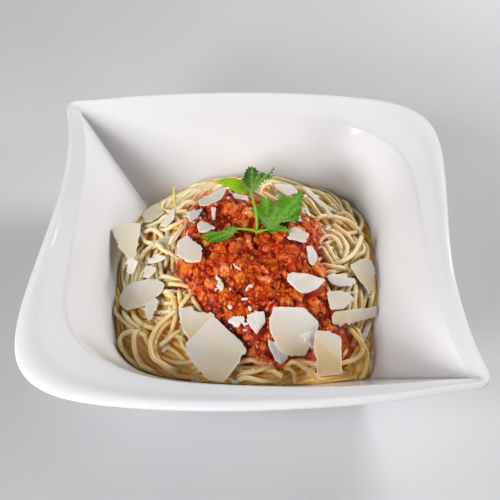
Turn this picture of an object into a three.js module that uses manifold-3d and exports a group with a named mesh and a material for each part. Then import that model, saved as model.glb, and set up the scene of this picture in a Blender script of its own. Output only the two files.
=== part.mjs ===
// A plate of spaghetti bolognese: a deep white porcelain plate with a wave-shaped rim, a heap of
// spaghetti, meat sauce on top, shavings of hard cheese and a sprig of parsley.
// Millimetres, +Z up. The plate's foot stands on z = 0 and the middle of the plate is x = y = 0.
// The plate is the same after half a turn, so each of its outlines is given for one half only,
// from the pointed corner at the back left, along the back and down the right side.

import * as THREE from 'three';
import { mergeVertices } from 'three/addons/utils/BufferGeometryUtils.js';
import Module from 'manifold-3d';

const wasm = await Module();
wasm.setup();

// Driving dimensions of the plate
const PLATE_HEIGHT = 61.4;
const RIM_DROP = 5.4; // the flat rim falls this much from its lip to the shoulder
const LIP_ROUND = 1.6; // the outermost line lies this far under the top of the lip
const RIM_THICKNESS = 4.4;
const WALL_THICKNESS = 0.17; // as a part of the way from the shoulder to the floor
const FLOOR_TOP = 6;
const FOOT_RECESS = 1.8;
const STATIONS_PER_SPAN = 2;

// Control points of the three outlines, in the same order, for a cubic B-spline
const RIM_OUTLINE = [
  [-121.5, 91.5], [-113, 94], [-101, 96.5], [-78, 103], [-52.5, 108], [-27.5, 112],
  [0.5, 115.5], [28.5, 117.5], [56.5, 118], [87.5, 116], [106.5, 103], [112, 80.5],
  [112, 55], [110.5, 27.5], [109, 0.5], [108.5, -27.5], [112, -57], [116, -77],
];
const OPENING_OUTLINE = [
  [-110.5, 87], [-110.5, 87], [-97, 89], [-78, 92.5], [-56, 95.5], [-32.5, 98.5],
  [-1, 100], [24, 101], [50, 99], [69, 90.5], [84.5, 77.5], [92, 59],
  [94, 40.5], [95, 18], [96.5, -5], [97.5, -29], [100, -49.5], [104.5, -71.5],
];
const FLOOR_OUTLINE = [
  [-68, 59], [-68, 59], [-62, 60.5], [-50, 62.5], [-36, 65], [-20, 67.5],
  [2, 69], [22, 69], [41, 68], [54, 64.5], [61, 55], [63, 41],
  [63, 25], [63, 10], [63, -6], [63, -22], [63.5, -37], [66, -52],
];

// The heap of spaghetti: a dome that meets the plate's walls and falls towards the pointed corners
const HEAP_TOP = 48;
const HEAP_FALL = 25; // from the top to where the dome is as wide as its half sizes
const HEAP_HALF = { x: 76, y: 80 };
const HEAP_MIDDLE_Y = -4;
const HEAP_SQUARENESS = 2.4;
const HEAP_STEEPNESS = 2.2;
const CORNER_FALL = 8;
const CORNER_START = 55;
const CORNER_END = 90;
const LUMP_WIDE = 0.9;
const LUMP_FINE = 0.6;

// Spaghetti
const NOODLE_DIAMETER = 2.6;
const NOODLE_SIDES = 5;
const NOODLE_STEP = 5.4;
const NOODLE_COUNT = 24;
const NOODLE_MAX_STEPS = 12;
const NOODLE_MIN_STEPS = 4;
const NOODLE_TRIES = 120;
const NOODLE_CLEARANCE = 2; // beyond toppings and walls, to the noodle's middle
const NOODLE_HEADROOM = 1.2; // the wall beside a noodle stays this far under the heap's top
const NOODLE_SPACING = 4; // a step closer than this to another noodle counts for little
const REPEAT_WORTH = 0.15; // what such a step counts, next to 1 for a step over new ground
const NOODLE_START = { from: 0.06, to: 0.4 }; // as a part of the way from the wall to the middle
const NOODLE_SPREAD = 0.7; // of half a turn, about the direction round the heap
const NOODLE_TURN = 0.5; // radians a step, from the sharpest left to the sharpest right
const NOODLE_SWAY = 0.12;
const NOODLE_SWAY_RATE = 0.8; // radians a step
const NOODLE_LIFT = 0.3; // of the diameter, from the heap's top to the noodle's middle
const NOODLE_WAVE = 0.18; // of the diameter, up and down along the noodle
const NOODLE_WAVE_RATE = 0.9; // radians a step
const NOODLE_WAVE_SHIFT = 6; // radians for each unit of sway
const NOODLE_SEED = 71;

// Sauce
const SAUCE_MIDDLE = [3, -12];
const SAUCE_DEPTH = 5.2;
const SAUCE_EDGE = 1.3;
const SAUCE_LUMP = 0.8;
const SAUCE_SUNK = 4; // the patch is closed this far under the heap's top
const SAUCE_OUTLINE = [
  [-33, 43], [-19, 48], [-7, 42], [10, 37], [29, 30], [42, 22], [41, 8],
  [38, -5], [44, -18], [41, -29], [56, -41], [56, -51], [48, -59], [36, -63],
  [22, -68], [7, -71], [-3, -63], [-13, -54], [-22, -47], [-26, -34],
  [-38, -29], [-42, -19], [-37, -6], [-41, 8], [-36, 24],
];

// Cheese shavings and parsley
const SHAVING_THICKNESS = 1.3;
const LEAF_THICKNESS = 0.7;
const STEM_RADIUS = 0.9;
const STEM_SIDES = 6;
const STALK_RISE = 0.4;
const GAP = 0.45;

// Shavings in the order in which they were dropped, outlines in plan
const SHAVINGS = [
  {
    outline: [
      [-36, -45.5], [-28.5, -45], [-26, -48], [-16, -49],
      [-15.5, -54.5], [-20, -63], [-28, -62.5], [-33, -57],
    ],
    split: 1,
  },
  {
    outline: [
      [-17, -52], [-4, -62], [2, -67.5], [-3, -77], [-8.5, -84],
      [-17, -83.5], [-28, -74], [-30, -66.5], [-26.5, -62.5],
    ],
    curl: 0.004, split: 1,
  },
  {
    outline: [
      [-70.5, -31], [-68, -26], [-63, -24], [-49.5, -26], [-44.5, -30.5],
      [-45.5, -35], [-53.5, -40.5], [-64.5, -41], [-70, -35.5],
    ],
    split: 1,
  },
  { outline: [[12, -62], [13, -65.5], [17.5, -71], [20, -71.5], [24, -68], [19, -63]], split: 0 },
  {
    outline: [
      [14, -49], [30.5, -45.5], [38.5, -50.5], [38.5, -54], [33, -66.5],
      [23, -69], [18, -66.5], [13, -59.5], [12.5, -56.5],
    ],
    curl: 0.003, split: 1,
  },
  {
    outline: [[29.5, -61], [32, -58], [35.5, -56.5], [37, -60], [36.5, -63.5], [33, -65.5], [28.5, -63.5]],
    split: 0,
  },
  {
    outline: [[36.5, -57], [44, -54.5], [51, -55.5], [51.5, -76.5], [38.5, -82], [35.5, -67]],
    curl: 0.004, split: 1,
  },
  {
    outline: [[42.5, -31.5], [49.5, -26.5], [57.5, -25], [59.5, -26.5], [53.5, -36], [45, -41.5]],
    split: 0,
  },
  { outline: [[45, -44], [50, -39.5], [73.5, -23], [73.5, -28.5], [51, -46.5], [46.5, -48]], split: 0 },
  {
    outline: [[43, -17.5], [47, -14], [57.5, -11.5], [61.5, -13], [59.5, -17.5], [51, -22.5], [44.5, -21]],
    split: 0,
  },
  {
    outline: [[56.5, -5], [65, 5.5], [70, 8.5], [74, 3.5], [71.5, -13], [68.5, -19], [61, -10.5]],
    split: 0,
  },
  {
    outline: [
      [20.5, -28], [23, -26.5], [32.5, -24.5], [42.5, -25.5],
      [37, -33], [31.5, -36.5], [28, -37.5], [20.5, -32.5],
    ],
    split: 1,
  },
  { outline: [[31, -6.5], [34.5, -3.5], [38, -9.5], [35, -17.5], [32.5, -18]], split: 0 },
  { outline: [[20.5, 2.5], [23.5, 7.5], [33, 6], [30.5, -3], [20.5, -3.5]], split: 0 },
  {
    outline: [
      [-41, -3], [-36, -1.5], [-28.5, -9.5], [-26, -14],
      [-25.5, -23.5], [-27, -24], [-34, -21], [-40, -14],
    ],
    split: 1,
  },
  { outline: [[-38.5, 18], [-36, 22], [-28, 18.5], [-31, 10], [-35, 7.5]], split: 0 },
  { outline: [[-31, 5.5], [-28.5, 8], [-19.5, 0], [-25, -3], [-29, -2]], split: 0 },
  { outline: [[-24.5, 21], [-21, 19.5], [-20.5, 8.5], [-23, 9]], split: 0 },
  { outline: [[-32, 28], [-19, 39], [-16, 34.5], [-18, 23], [-26.5, 18.5], [-31, 20.5]], split: 0 },
  { outline: [[-16, 37.5], [-14, 39.5], [-3, 31], [-3, 26.5], [-10.5, 28]], split: 0 },
  { outline: [[11.5, 59], [24, 63], [27, 52], [20, 43], [13.5, 50]], split: 0 },
  { outline: [[29.5, 58.5], [33, 60.5], [46.5, 36.5], [45, 31.5]], split: 0 },
  { outline: [[-81.5, 13], [-75, 18.5], [-65.5, 21], [-64, 8.5], [-65, -15], [-77, 1]], split: 0 },
  { outline: [[-63.5, 42.5], [-59, 44], [-51.5, 25.5], [-58.5, 20], [-63.5, 23], [-67, 38.5]], split: 0 },
  { outline: [[-71, -13], [-66, -12], [-61, -17], [-64, -21], [-69, -19]], split: 0 },
  { outline: [[-60, -18], [-58, -14.5], [-54.5, -14], [-51, -19], [-53.5, -23], [-58, -22.5]], split: 0 },
  { outline: [[-58, -8.5], [-52, -8], [-46, -11.5], [-50, -14], [-56.5, -13]], split: 0 },
  {
    outline: [[-53.5, -41.5], [-51, -38.5], [-47, -40.5], [-49.5, -49.5], [-52, -50.5], [-54, -46]],
    split: 0,
  },
  { outline: [[-47, 28], [-45.5, 24.5], [-45, 18], [-49.5, 11.5], [-53.5, 16]], split: 0 },
  { outline: [[-9.5, -54.5], [-4, -51.5], [-0.5, -51.5], [1.5, -57], [-4, -57.5]], split: 0 },
  { outline: [[0.5, -52.5], [10, -49.5], [11, -55], [6.5, -61.5], [1, -56]], split: 0 },
  {
    outline: [[-18, -30.5], [-16.5, -30], [-13.5, -32.5], [-12, -37], [-13.5, -40], [-18, -39.5]],
    split: 0,
  },
];

// Parsley leaves: outline in plan, the leaf's foot, its slopes, the depth of its waves, and for the
// two lower leaves the stalk to them in plan
const SPRIG_FOOT = [3, -1];
const SPRIG_RISE = [[2, 5, 63], [-2, 16, 69]];
const LEAVES = [
  {
    outline: [[-22, 28], [-16, 30], [-8, 27], [-2, 18], [-1, 15], [-7, 15.5], [-15, 19], [-20, 24]],
    foot: [-2, 16, 69], slope: [0.12, 0], wave: 0.5,
  },
  {
    outline: [
      [-3, 15], [-8, 23], [-7, 28], [-4, 33], [-1, 30], [1, 34], [5, 31],
      [9, 36], [11, 34], [9, 27], [10, 24], [5, 22], [0, 16],
    ],
    foot: [-2, 16, 69], slope: [0, 0.3], wave: 0.9,
  },
  {
    outline: [
      [5, -5], [1, 0], [0, 8], [1, 17], [4, 22], [6, 17], [10, 25], [17, 30], [20, 28],
      [28, 34], [28, 23], [26, 15], [22, 10], [27, 4], [23, 0], [17, 1], [11, -2],
    ],
    foot: [5, -4, 59], slope: [-0.07, -0.1], wave: 1.1, stalk: [[2, -1], [5, -3]],
  },
  {
    outline: [[-28, -5], [-21, -1.5], [-14, 2], [-7, 1], [-6, -1], [-11, -5], [-17, -10], [-25, -9]],
    foot: [-7, 0, 57], slope: [0.08, 0.05], wave: 0.5, stalk: [[0, -1], [-7, 0]],
  },
];

// A repeatable source of random numbers between 0 and 1
function randomSource(seed) {
  let state = seed;
  return () => {
    state = (Math.imul(state, 1664525) + 1013904223) >>> 0;
    return state / 2 ** 32;
  };
}

const lerp = THREE.MathUtils.lerp;
const smoothstep = THREE.MathUtils.smoothstep;

// Points of a closed cubic B-spline through its corner-cutting control points
function closedSpline(control, perSpan) {
  const points = [];
  const count = control.length;
  for (let i = 0; i < count; i += 1) {
    for (let j = 0; j < perSpan; j += 1) {
      const u = j / perSpan;
      const weights = [
        (1 - u) ** 3 / 6,
        (3 * u ** 3 - 6 * u ** 2 + 4) / 6,
        (-3 * u ** 3 + 3 * u ** 2 + 3 * u + 1) / 6,
        u ** 3 / 6,
      ];
      const point = [0, 0];
      weights.forEach((weight, k) => {
        const source = control[(i + k - 1 + count) % count];
        point[0] += weight * source[0];
        point[1] += weight * source[1];
      });
      points.push(point);
    }
  }
  return points;
}

function halfTurnOutline(half) {
  const other = half.map(([x, y]) => [-x, -y]);
  return closedSpline([...half, ...other], STATIONS_PER_SPAN);
}

// The plate's plan at a level: 0 is the outer edge, 1 the shoulder, 2 the floor's edge, 3 the middle
const LEVEL_OUTLINES = [RIM_OUTLINE, OPENING_OUTLINE, FLOOR_OUTLINE].map(halfTurnOutline);
const STATION_COUNT = LEVEL_OUTLINES[0].length;

function planPoint(station, level) {
  const below = Math.min(Math.floor(level), 2);
  const along = level - below;
  const from = LEVEL_OUTLINES[below][station];
  const to = below === 2 ? [0, 0] : LEVEL_OUTLINES[below + 1][station];
  return [lerp(from[0], to[0], along), lerp(from[1], to[1], along)];
}

// The inside of the plate as height over level
const SHOULDER_Z = PLATE_HEIGHT - RIM_DROP;
const WALL_FALL = SHOULDER_Z - FLOOR_TOP;
const INSIDE_PROFILE = [
  [0.05, PLATE_HEIGHT - 0.4 * LIP_ROUND],
  [0.16, PLATE_HEIGHT],
  [0.5, PLATE_HEIGHT - 0.4 * RIM_DROP],
  [0.86, PLATE_HEIGHT - 0.8 * RIM_DROP],
  [0.98, SHOULDER_Z],
  [1.07, SHOULDER_Z - 0.07 * WALL_FALL],
  [1.84, SHOULDER_Z - 0.84 * WALL_FALL],
  [1.94, FLOOR_TOP + 3.2],
  [2.05, FLOOR_TOP + 0.8],
  [2.22, FLOOR_TOP],
];

function insideHeight(level) {
  for (let i = 1; i < INSIDE_PROFILE.length; i += 1) {
    const [levelBefore, zBefore] = INSIDE_PROFILE[i - 1];
    const [levelHere, zHere] = INSIDE_PROFILE[i];
    if (level < levelHere) {
      return lerp(zBefore, zHere, (level - levelBefore) / (levelHere - levelBefore));
    }
  }
  return FLOOR_TOP;
}

// Outside of the plate, from the recess inside the foot ring up to the lip
const OUTSIDE_PROFILE = [
  [2.17, FOOT_RECESS],
  [2.15, 0],
  [2.07, 0],
  [2.03, FOOT_RECESS],
  [1.9, FOOT_RECESS + 2.4],
  [1.93 - WALL_THICKNESS, SHOULDER_Z - 0.91 * WALL_FALL],
  [1.14 - WALL_THICKNESS, SHOULDER_Z - 0.19 * WALL_FALL],
  [0.78, SHOULDER_Z - RIM_THICKNESS + 0.2 * RIM_DROP],
  [0.1, PLATE_HEIGHT - RIM_THICKNESS - 0.1 * RIM_DROP],
  [0, PLATE_HEIGHT - LIP_ROUND],
];

// A closed surface from rings of points, with a single point at each end
function loft(rings, firstPole, lastPole) {
  const count = rings[0].length;
  const positions = [...rings.flat(2), ...firstPole, ...lastPole];
  const firstIndex = rings.length * count;
  const lastIndex = firstIndex + 1;
  const faces = [];
  for (let s = 0; s < count; s += 1) {
    const next = (s + 1) % count;
    for (let r = 0; r + 1 < rings.length; r += 1) {
      const a = r * count + s;
      const b = r * count + next;
      const c = a + count;
      const d = b + count;
      faces.push(a, c, b, b, c, d);
    }
    const top = (rings.length - 1) * count;
    faces.push(firstIndex, s, next, lastIndex, top + next, top + s);
  }
  return closedGeometry(positions, faces);
}

// A geometry with its faces turned outwards
function closedGeometry(positions, faces) {
  let volume = 0;
  for (let i = 0; i < faces.length; i += 3) {
    const [a, b, c] = [faces[i], faces[i + 1], faces[i + 2]].map(
      (index) => new THREE.Vector3(...positions.slice(3 * index, 3 * index + 3)),
    );
    volume += a.dot(b.cross(c)) / 6;
  }
  const outward = volume > 0 ? faces : faces.toReversed();
  const geometry = new THREE.BufferGeometry();
  geometry.setAttribute('position', new THREE.Float32BufferAttribute(positions, 3));
  geometry.setIndex(outward);
  geometry.computeVertexNormals();
  return geometry;
}

function toSolid(geometry) {
  const bare = geometry.clone();
  bare.deleteAttribute('normal');
  bare.deleteAttribute('uv');
  const merged = mergeVertices(bare);
  const vertProperties = new Float32Array(merged.attributes.position.array);
  const triVerts = new Uint32Array(merged.index.array);
  return new wasm.Manifold(new wasm.Mesh({ numProp: 3, vertProperties, triVerts }));
}

// The largest connected piece of a solid, without loose scraps and sealed hollows
function toGeometry(solid) {
  const pieces = solid.decompose().sort((a, b) => b.volume() - a.volume());
  const mesh = pieces[0].getMesh();
  return closedGeometry(Array.from(mesh.vertProperties), Array.from(mesh.triVerts));
}

// The height of the highest face of some geometries over a point in plan
class Heights {
  constructor() {
    this.triangles = [];
  }

  add(geometry) {
    const position = geometry.attributes.position;
    const index = geometry.index;
    for (let i = 0; i < index.count; i += 3) {
      const corners = [0, 1, 2].map(
        (k) => new THREE.Vector3().fromBufferAttribute(position, index.getX(i + k)),
      );
      const [a, b, c] = corners;
      const area = (b.x - a.x) * (c.y - a.y) - (c.x - a.x) * (b.y - a.y);
      if (area > 1e-6) {
        this.triangles.push({ a, b, c, area, box: new THREE.Box3().setFromPoints(corners) });
      }
    }
  }

  at(x, y) {
    let highest = -Infinity;
    for (const { a, b, c, area, box } of this.triangles) {
      if (x < box.min.x || x > box.max.x || y < box.min.y || y > box.max.y) continue;
      const v = ((x - a.x) * (c.y - a.y) - (c.x - a.x) * (y - a.y)) / area;
      const w = ((b.x - a.x) * (y - a.y) - (x - a.x) * (b.y - a.y)) / area;
      if (v >= 0 && w >= 0 && v + w <= 1) {
        highest = Math.max(highest, a.z + v * (b.z - a.z) + w * (c.z - a.z));
      }
    }
    return highest;
  }
}

function insideOutline([x, y], outline) {
  let inside = false;
  outline.forEach(([ax, ay], i) => {
    const [bx, by] = outline[(i + 1) % outline.length];
    const crosses = ay > y !== by > y && x < ax + ((bx - ax) * (y - ay)) / (by - ay);
    if (crosses) inside = !inside;
  });
  return inside;
}

function distanceToOutline([x, y], outline) {
  const point = new THREE.Vector3(x, y, 0);
  const line = new THREE.Line3();
  const nearest = new THREE.Vector3();
  let distance = Infinity;
  outline.forEach(([ax, ay], i) => {
    const [bx, by] = outline[(i + 1) % outline.length];
    line.start.set(ax, ay, 0);
    line.end.set(bx, by, 0);
    line.closestPointToPoint(point, true, nearest);
    distance = Math.min(distance, nearest.distanceTo(point));
  });
  return distance;
}

// Plate
function plateGeometry() {
  const ring = ([level, z]) => (
    Array.from({ length: STATION_COUNT }, (_, s) => [...planPoint(s, level), z])
  );
  const rings = [...OUTSIDE_PROFILE, ...INSIDE_PROFILE].map(ring);
  return loft(rings, [0, 0, FOOT_RECESS], [0, 0, FLOOR_TOP]);
}

// Top of the bare heap over a point in plan
function heapHeight(x, y) {
  const across = (Math.abs(x) / HEAP_HALF.x) ** HEAP_SQUARENESS;
  const along = (Math.abs(y - HEAP_MIDDLE_Y) / HEAP_HALF.y) ** HEAP_SQUARENESS;
  const reach = (across + along) ** (1 / HEAP_SQUARENESS);
  const towardsPoint = Math.abs(0.76 * x - 0.65 * y);
  const cornerFall = CORNER_FALL * smoothstep(towardsPoint, CORNER_START, CORNER_END);
  const wide = LUMP_WIDE * Math.sin(x / 7.3 + 1) * Math.sin(y / 8.1);
  const fine = LUMP_FINE * Math.sin(x / 4.1) * Math.sin(y / 4.7 + 2);
  return HEAP_TOP - HEAP_FALL * reach ** HEAP_STEEPNESS - cornerFall + wide + fine;
}

// The level at which the heap meets the plate's wall, at one station
function contactLevel(station) {
  let dry = 1;
  let covered = 2.2;
  for (let i = 0; i < 30; i += 1) {
    const middle = (dry + covered) / 2;
    if (heapHeight(...planPoint(station, middle)) > insideHeight(middle)) {
      covered = middle;
    } else {
      dry = middle;
    }
  }
  return covered;
}

const CONTACT_LEVELS = Array.from({ length: STATION_COUNT }, (_, s) => contactLevel(s));
const WALL_GAP = 0.016; // in levels, about 0.4 mm square to the wall
const FLOOR_GAP = 0.4;
const WALL_END = 1.94; // the level where the wall starts to turn into the floor
const CONTACT_MARGIN = 0.02; // in levels, from the heap's edge line to the next ring under it

// The heap without its noodles, with its top raised by a given amount
function heapCore(raised) {
  const stations = Array.from({ length: STATION_COUNT }, (_, s) => s);
  const underLevels = [2.5, 2.22, 2.05, WALL_END];
  const lowest = (level, s) => Math.max(level, CONTACT_LEVELS[s] + CONTACT_MARGIN);
  const under = underLevels.map((level) => stations.map((s) => {
    const limited = lowest(level, s);
    return [...planPoint(s, limited + WALL_GAP), insideHeight(limited) + FLOOR_GAP];
  }));
  const wall = [0.5, 0].map((part) => stations.map((s) => {
    const level = lerp(CONTACT_LEVELS[s], lowest(WALL_END, s), part);
    return [...planPoint(s, level + WALL_GAP), insideHeight(level)];
  }));
  const topParts = [0.05, 0.14, 0.26, 0.4, 0.55, 0.7, 0.86];
  const top = topParts.map((part) => stations.map((s) => {
    const [x, y] = planPoint(s, lerp(CONTACT_LEVELS[s], 3, part));
    return [x, y, heapHeight(x, y) + raised];
  }));
  const poles = [FLOOR_TOP + FLOOR_GAP, heapHeight(0, 0) + raised].map((z) => [0, 0, z]);
  return loft([...under, ...wall, ...top], ...poles);
}

// Meat sauce, draped over the heap
const SAUCE_EDGE_LINE = closedSpline(SAUCE_OUTLINE, 2);

function sauceGeometry(heap) {
  const parts = [1, 0.93, 0.8, 0.62, 0.42, 0.2];
  const place = (part, [x, y]) => [lerp(SAUCE_MIDDLE[0], x, part), lerp(SAUCE_MIDDLE[1], y, part)];
  const lump = (x, y) => (
    SAUCE_LUMP * (Math.sin(x / 2.9) * Math.sin(y / 3.3 + 1) + Math.sin(x / 6 + y / 5))
  );
  const topHeight = (part, x, y) => (
    heapHeight(x, y) + SAUCE_EDGE + SAUCE_DEPTH * (1 - part ** 5) + (1 - part ** 8) * lump(x, y)
  );
  const sunk = SAUCE_EDGE_LINE.map((point) => {
    const [x, y] = place(0.9, point);
    return [x, y, heapHeight(x, y) - SAUCE_SUNK];
  });
  const rings = parts.map((part) => SAUCE_EDGE_LINE.map((point) => {
    const [x, y] = place(part, point);
    return [x, y, topHeight(part, x, y)];
  }));
  const [mx, my] = SAUCE_MIDDLE;
  const poles = [heapHeight(mx, my) - SAUCE_SUNK, topHeight(0, mx, my)].map((z) => [mx, my, z]);
  const blob = loft([sunk, ...rings], ...poles);
  return toGeometry(toSolid(blob).subtract(heap));
}

// A thin slab over an outline in plan: both faces are split alike, and follow a height function
function slab(outline, topHeight, thickness, split) {
  const points = outline.map(([x, y]) => new THREE.Vector2(x, y));
  if (THREE.ShapeUtils.isClockWise(points)) points.reverse();
  let faces = THREE.ShapeUtils.triangulateShape(points, []);
  for (let round = 0; round < split; round += 1) {
    const middles = new Map();
    const middle = (a, b) => {
      const key = a < b ? `${a}_${b}` : `${b}_${a}`;
      if (!middles.has(key)) {
        middles.set(key, points.length);
        points.push(points[a].clone().lerp(points[b], 0.5));
      }
      return middles.get(key);
    };
    faces = faces.flatMap(([a, b, c]) => {
      const [ab, bc, ca] = [middle(a, b), middle(b, c), middle(c, a)];
      return [[a, ab, ca], [ab, b, bc], [ca, bc, c], [ab, bc, ca]];
    });
  }
  const count = points.length;
  const tops = points.flatMap(({ x, y }) => [x, y, topHeight(x, y)]);
  const bottoms = points.flatMap(({ x, y }) => [x, y, topHeight(x, y) - thickness]);
  const edges = new Set(faces.flatMap(([a, b, c]) => [`${a}_${b}`, `${b}_${c}`, `${c}_${a}`]));
  const rim = [...edges]
    .map((key) => key.split('_').map(Number))
    .filter(([a, b]) => !edges.has(`${b}_${a}`));
  const indices = [
    ...faces.flat(),
    ...faces.flatMap(([a, b, c]) => [a + count, c + count, b + count]),
    ...rim.flatMap(([a, b]) => [a, a + count, b, b, a + count, b + count]),
  ];
  return closedGeometry([...tops, ...bottoms], indices);
}

// The plane that lies best on what is under an outline
function restingPlane(outline, heights) {
  const middle = [0, 1].map((k) => outline.reduce((sum, point) => sum + point[k], 0) / outline.length);
  let [xx, xy, yy, xz, yz] = [0, 0, 0, 0, 0];
  outline.forEach(([x, y]) => {
    const [dx, dy] = [x - middle[0], y - middle[1]];
    const z = heights.at(x, y) - heights.at(...middle);
    xx += dx * dx;
    xy += dx * dy;
    yy += dy * dy;
    xz += dx * z;
    yz += dy * z;
  });
  const scale = xx * yy - xy * xy;
  return { middle, slope: [(xz * yy - yz * xy) / scale, (yz * xx - xz * xy) / scale] };
}

// A cheese shaving laid on what is under it, with its middle bowed up by its curl. What is under it is
// measured at points this far apart.
const MEASURING_STEP = 0.5;

function shavingGeometry({ outline, split, curl = 0 }, heights) {
  const { middle, slope } = restingPlane(outline, heights);
  const steepness = Math.hypot(1, ...slope);
  const thickness = SHAVING_THICKNESS * steepness;
  const shape = (x, y) => {
    const [dx, dy] = [x - middle[0], y - middle[1]];
    return slope[0] * dx + slope[1] * dy - curl * (dx * dx + dy * dy);
  };
  let lift = -Infinity;
  const box = new THREE.Box2().setFromPoints(outline.map(([x, y]) => new THREE.Vector2(x, y)));
  for (let x = box.min.x; x <= box.max.x; x += MEASURING_STEP) {
    for (let y = box.min.y; y <= box.max.y; y += MEASURING_STEP) {
      const near = insideOutline([x, y], outline) || distanceToOutline([x, y], outline) < MEASURING_STEP;
      if (near) lift = Math.max(lift, heights.at(x, y) - shape(x, y));
    }
  }
  const top = lift + GAP * steepness + thickness;
  return slab(outline, (x, y) => shape(x, y) + top, thickness, split);
}

// A closed tube along a list of points
function tube(path, radius, sides) {
  const up = new THREE.Vector3(0, 0, 1);
  const rings = path.map((point, i) => {
    const before = path[Math.max(i - 1, 0)];
    const after = path[Math.min(i + 1, path.length - 1)];
    const along = after.clone().sub(before).normalize();
    const side = new THREE.Vector3().crossVectors(along, up).normalize();
    const over = new THREE.Vector3().crossVectors(side, along);
    return Array.from({ length: sides }, (_, k) => {
      const angle = (2 * Math.PI * k) / sides;
      return point.clone()
        .addScaledVector(side, radius * Math.cos(angle))
        .addScaledVector(over, radius * Math.sin(angle))
        .toArray();
    });
  });
  return loft(rings, path[0].toArray(), path.at(-1).toArray());
}

// Whether a noodle may lie over a point: on the heap, clear of the wall and of all toppings
function isOpenHeap(x, y, wallHeights) {
  const top = heapHeight(x, y);
  const reachesWall = [[0, 0], [1, 0], [-1, 0], [0, 1], [0, -1]].some(([dx, dy]) => {
    const wall = wallHeights.at(x + dx * NOODLE_CLEARANCE, y + dy * NOODLE_CLEARANCE);
    return wall > top - NOODLE_HEADROOM;
  });
  if (reachesWall) return false;
  const toppings = [SAUCE_EDGE_LINE, ...SHAVINGS.map(({ outline }) => outline)];
  return toppings.every((outline) => (
    !insideOutline([x, y], outline) && distanceToOutline([x, y], outline) > NOODLE_CLEARANCE
  ));
}

// How much new ground a run covers, next to the noodles that are already there
function runWorth(run, paths) {
  const taken = paths.flat();
  return run.reduce((sum, point) => (
    sum + (taken.some((other) => other.distanceTo(point) < NOODLE_SPACING) ? REPEAT_WORTH : 1)
  ), 0);
}

// Noodles that show: curved runs over the open heap, spread evenly round it
function noodlePaths(wallHeights) {
  const random = randomSource(NOODLE_SEED);
  const paths = [];
  for (let i = 0; i < NOODLE_COUNT; i += 1) {
    const station = Math.floor((STATION_COUNT * (i + random())) / NOODLE_COUNT);
    let best = [];
    let bestWorth = 0;
    for (let attempt = 0; attempt < NOODLE_TRIES; attempt += 1) {
      const inwards = lerp(NOODLE_START.from, NOODLE_START.to, random());
      let [x, y] = planPoint(station, lerp(CONTACT_LEVELS[station], 3, inwards));
      const spread = NOODLE_SPREAD * (random() - 0.5);
      const reversed = Math.round(random());
      let heading = Math.atan2(x, -y) + Math.PI * (spread + reversed);
      const turn = NOODLE_TURN * (random() - 0.5);
      const sway = NOODLE_SWAY * random();
      const run = [];
      while (run.length < NOODLE_MAX_STEPS && isOpenHeap(x, y, wallHeights)) {
        const wave = NOODLE_WAVE * Math.sin(NOODLE_WAVE_RATE * run.length + NOODLE_WAVE_SHIFT * sway);
        run.push(new THREE.Vector3(x, y, heapHeight(x, y) + NOODLE_DIAMETER * (NOODLE_LIFT + wave)));
        x += NOODLE_STEP * Math.cos(heading);
        y += NOODLE_STEP * Math.sin(heading);
        heading += turn + sway * Math.sin(NOODLE_SWAY_RATE * run.length);
      }
      const worth = runWorth(run, paths);
      if (worth > bestWorth) {
        best = run;
        bestWorth = worth;
      }
    }
    if (best.length >= NOODLE_MIN_STEPS) paths.push(best);
  }
  return paths;
}

function spaghettiGeometry(wallHeights) {
  const noodle = (path) => toSolid(tube(path, NOODLE_DIAMETER / 2, NOODLE_SIDES));
  const noodles = noodlePaths(wallHeights).map(noodle);
  return toGeometry(wasm.Manifold.union([toSolid(heapCore(0)), ...noodles]));
}

// Parsley sprig: leaves and stalks as one piece
function leafGeometry({ outline, foot, slope, wave }) {
  const height = (x, y) => {
    const flat = foot[2] + slope[0] * (x - foot[0]) + slope[1] * (y - foot[1]);
    return flat + wave * Math.sin(x / 2.6) * Math.sin(y / 3.1);
  };
  return slab(outline, height, LEAF_THICKNESS, 1);
}

function sprigGeometry(heights) {
  const start = new THREE.Vector3(...SPRIG_FOOT, heights.at(...SPRIG_FOOT) + STEM_RADIUS + 2 * GAP);
  const rise = [start, ...SPRIG_RISE.map((point) => new THREE.Vector3(...point))];
  const stalks = LEAVES.filter(({ stalk }) => stalk).map(({ stalk: [from, to], foot }) => [
    start,
    new THREE.Vector3(...from, start.z + STALK_RISE),
    new THREE.Vector3(...to, foot[2] - 0.3 * LEAF_THICKNESS),
  ]);
  const stems = [rise, ...stalks].map((path) => toSolid(tube(path, STEM_RADIUS, STEM_SIDES)));
  const leaves = LEAVES.map((leaf) => toSolid(leafGeometry(leaf)));
  return toGeometry(wasm.Manifold.union([...stems, ...leaves]));
}

// Materials
const porcelain = () => new THREE.MeshStandardMaterial({ color: 0xe9e7ea, roughness: 0.12, metalness: 0 });
const pasta = () => new THREE.MeshStandardMaterial({ color: 0xdcc489, roughness: 0.45, metalness: 0 });
const sauce = () => new THREE.MeshStandardMaterial({ color: 0xb23a12, roughness: 0.3, metalness: 0 });
const cheese = () => new THREE.MeshStandardMaterial({ color: 0xe8dec4, roughness: 0.5, metalness: 0 });
const leafGreen = () => new THREE.MeshStandardMaterial({ color: 0x3f8f2a, roughness: 0.5, metalness: 0 });

function addPiece(group, name, geometry, material) {
  const mesh = new THREE.Mesh(geometry, material);
  mesh.name = name;
  group.add(mesh);
}

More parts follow.
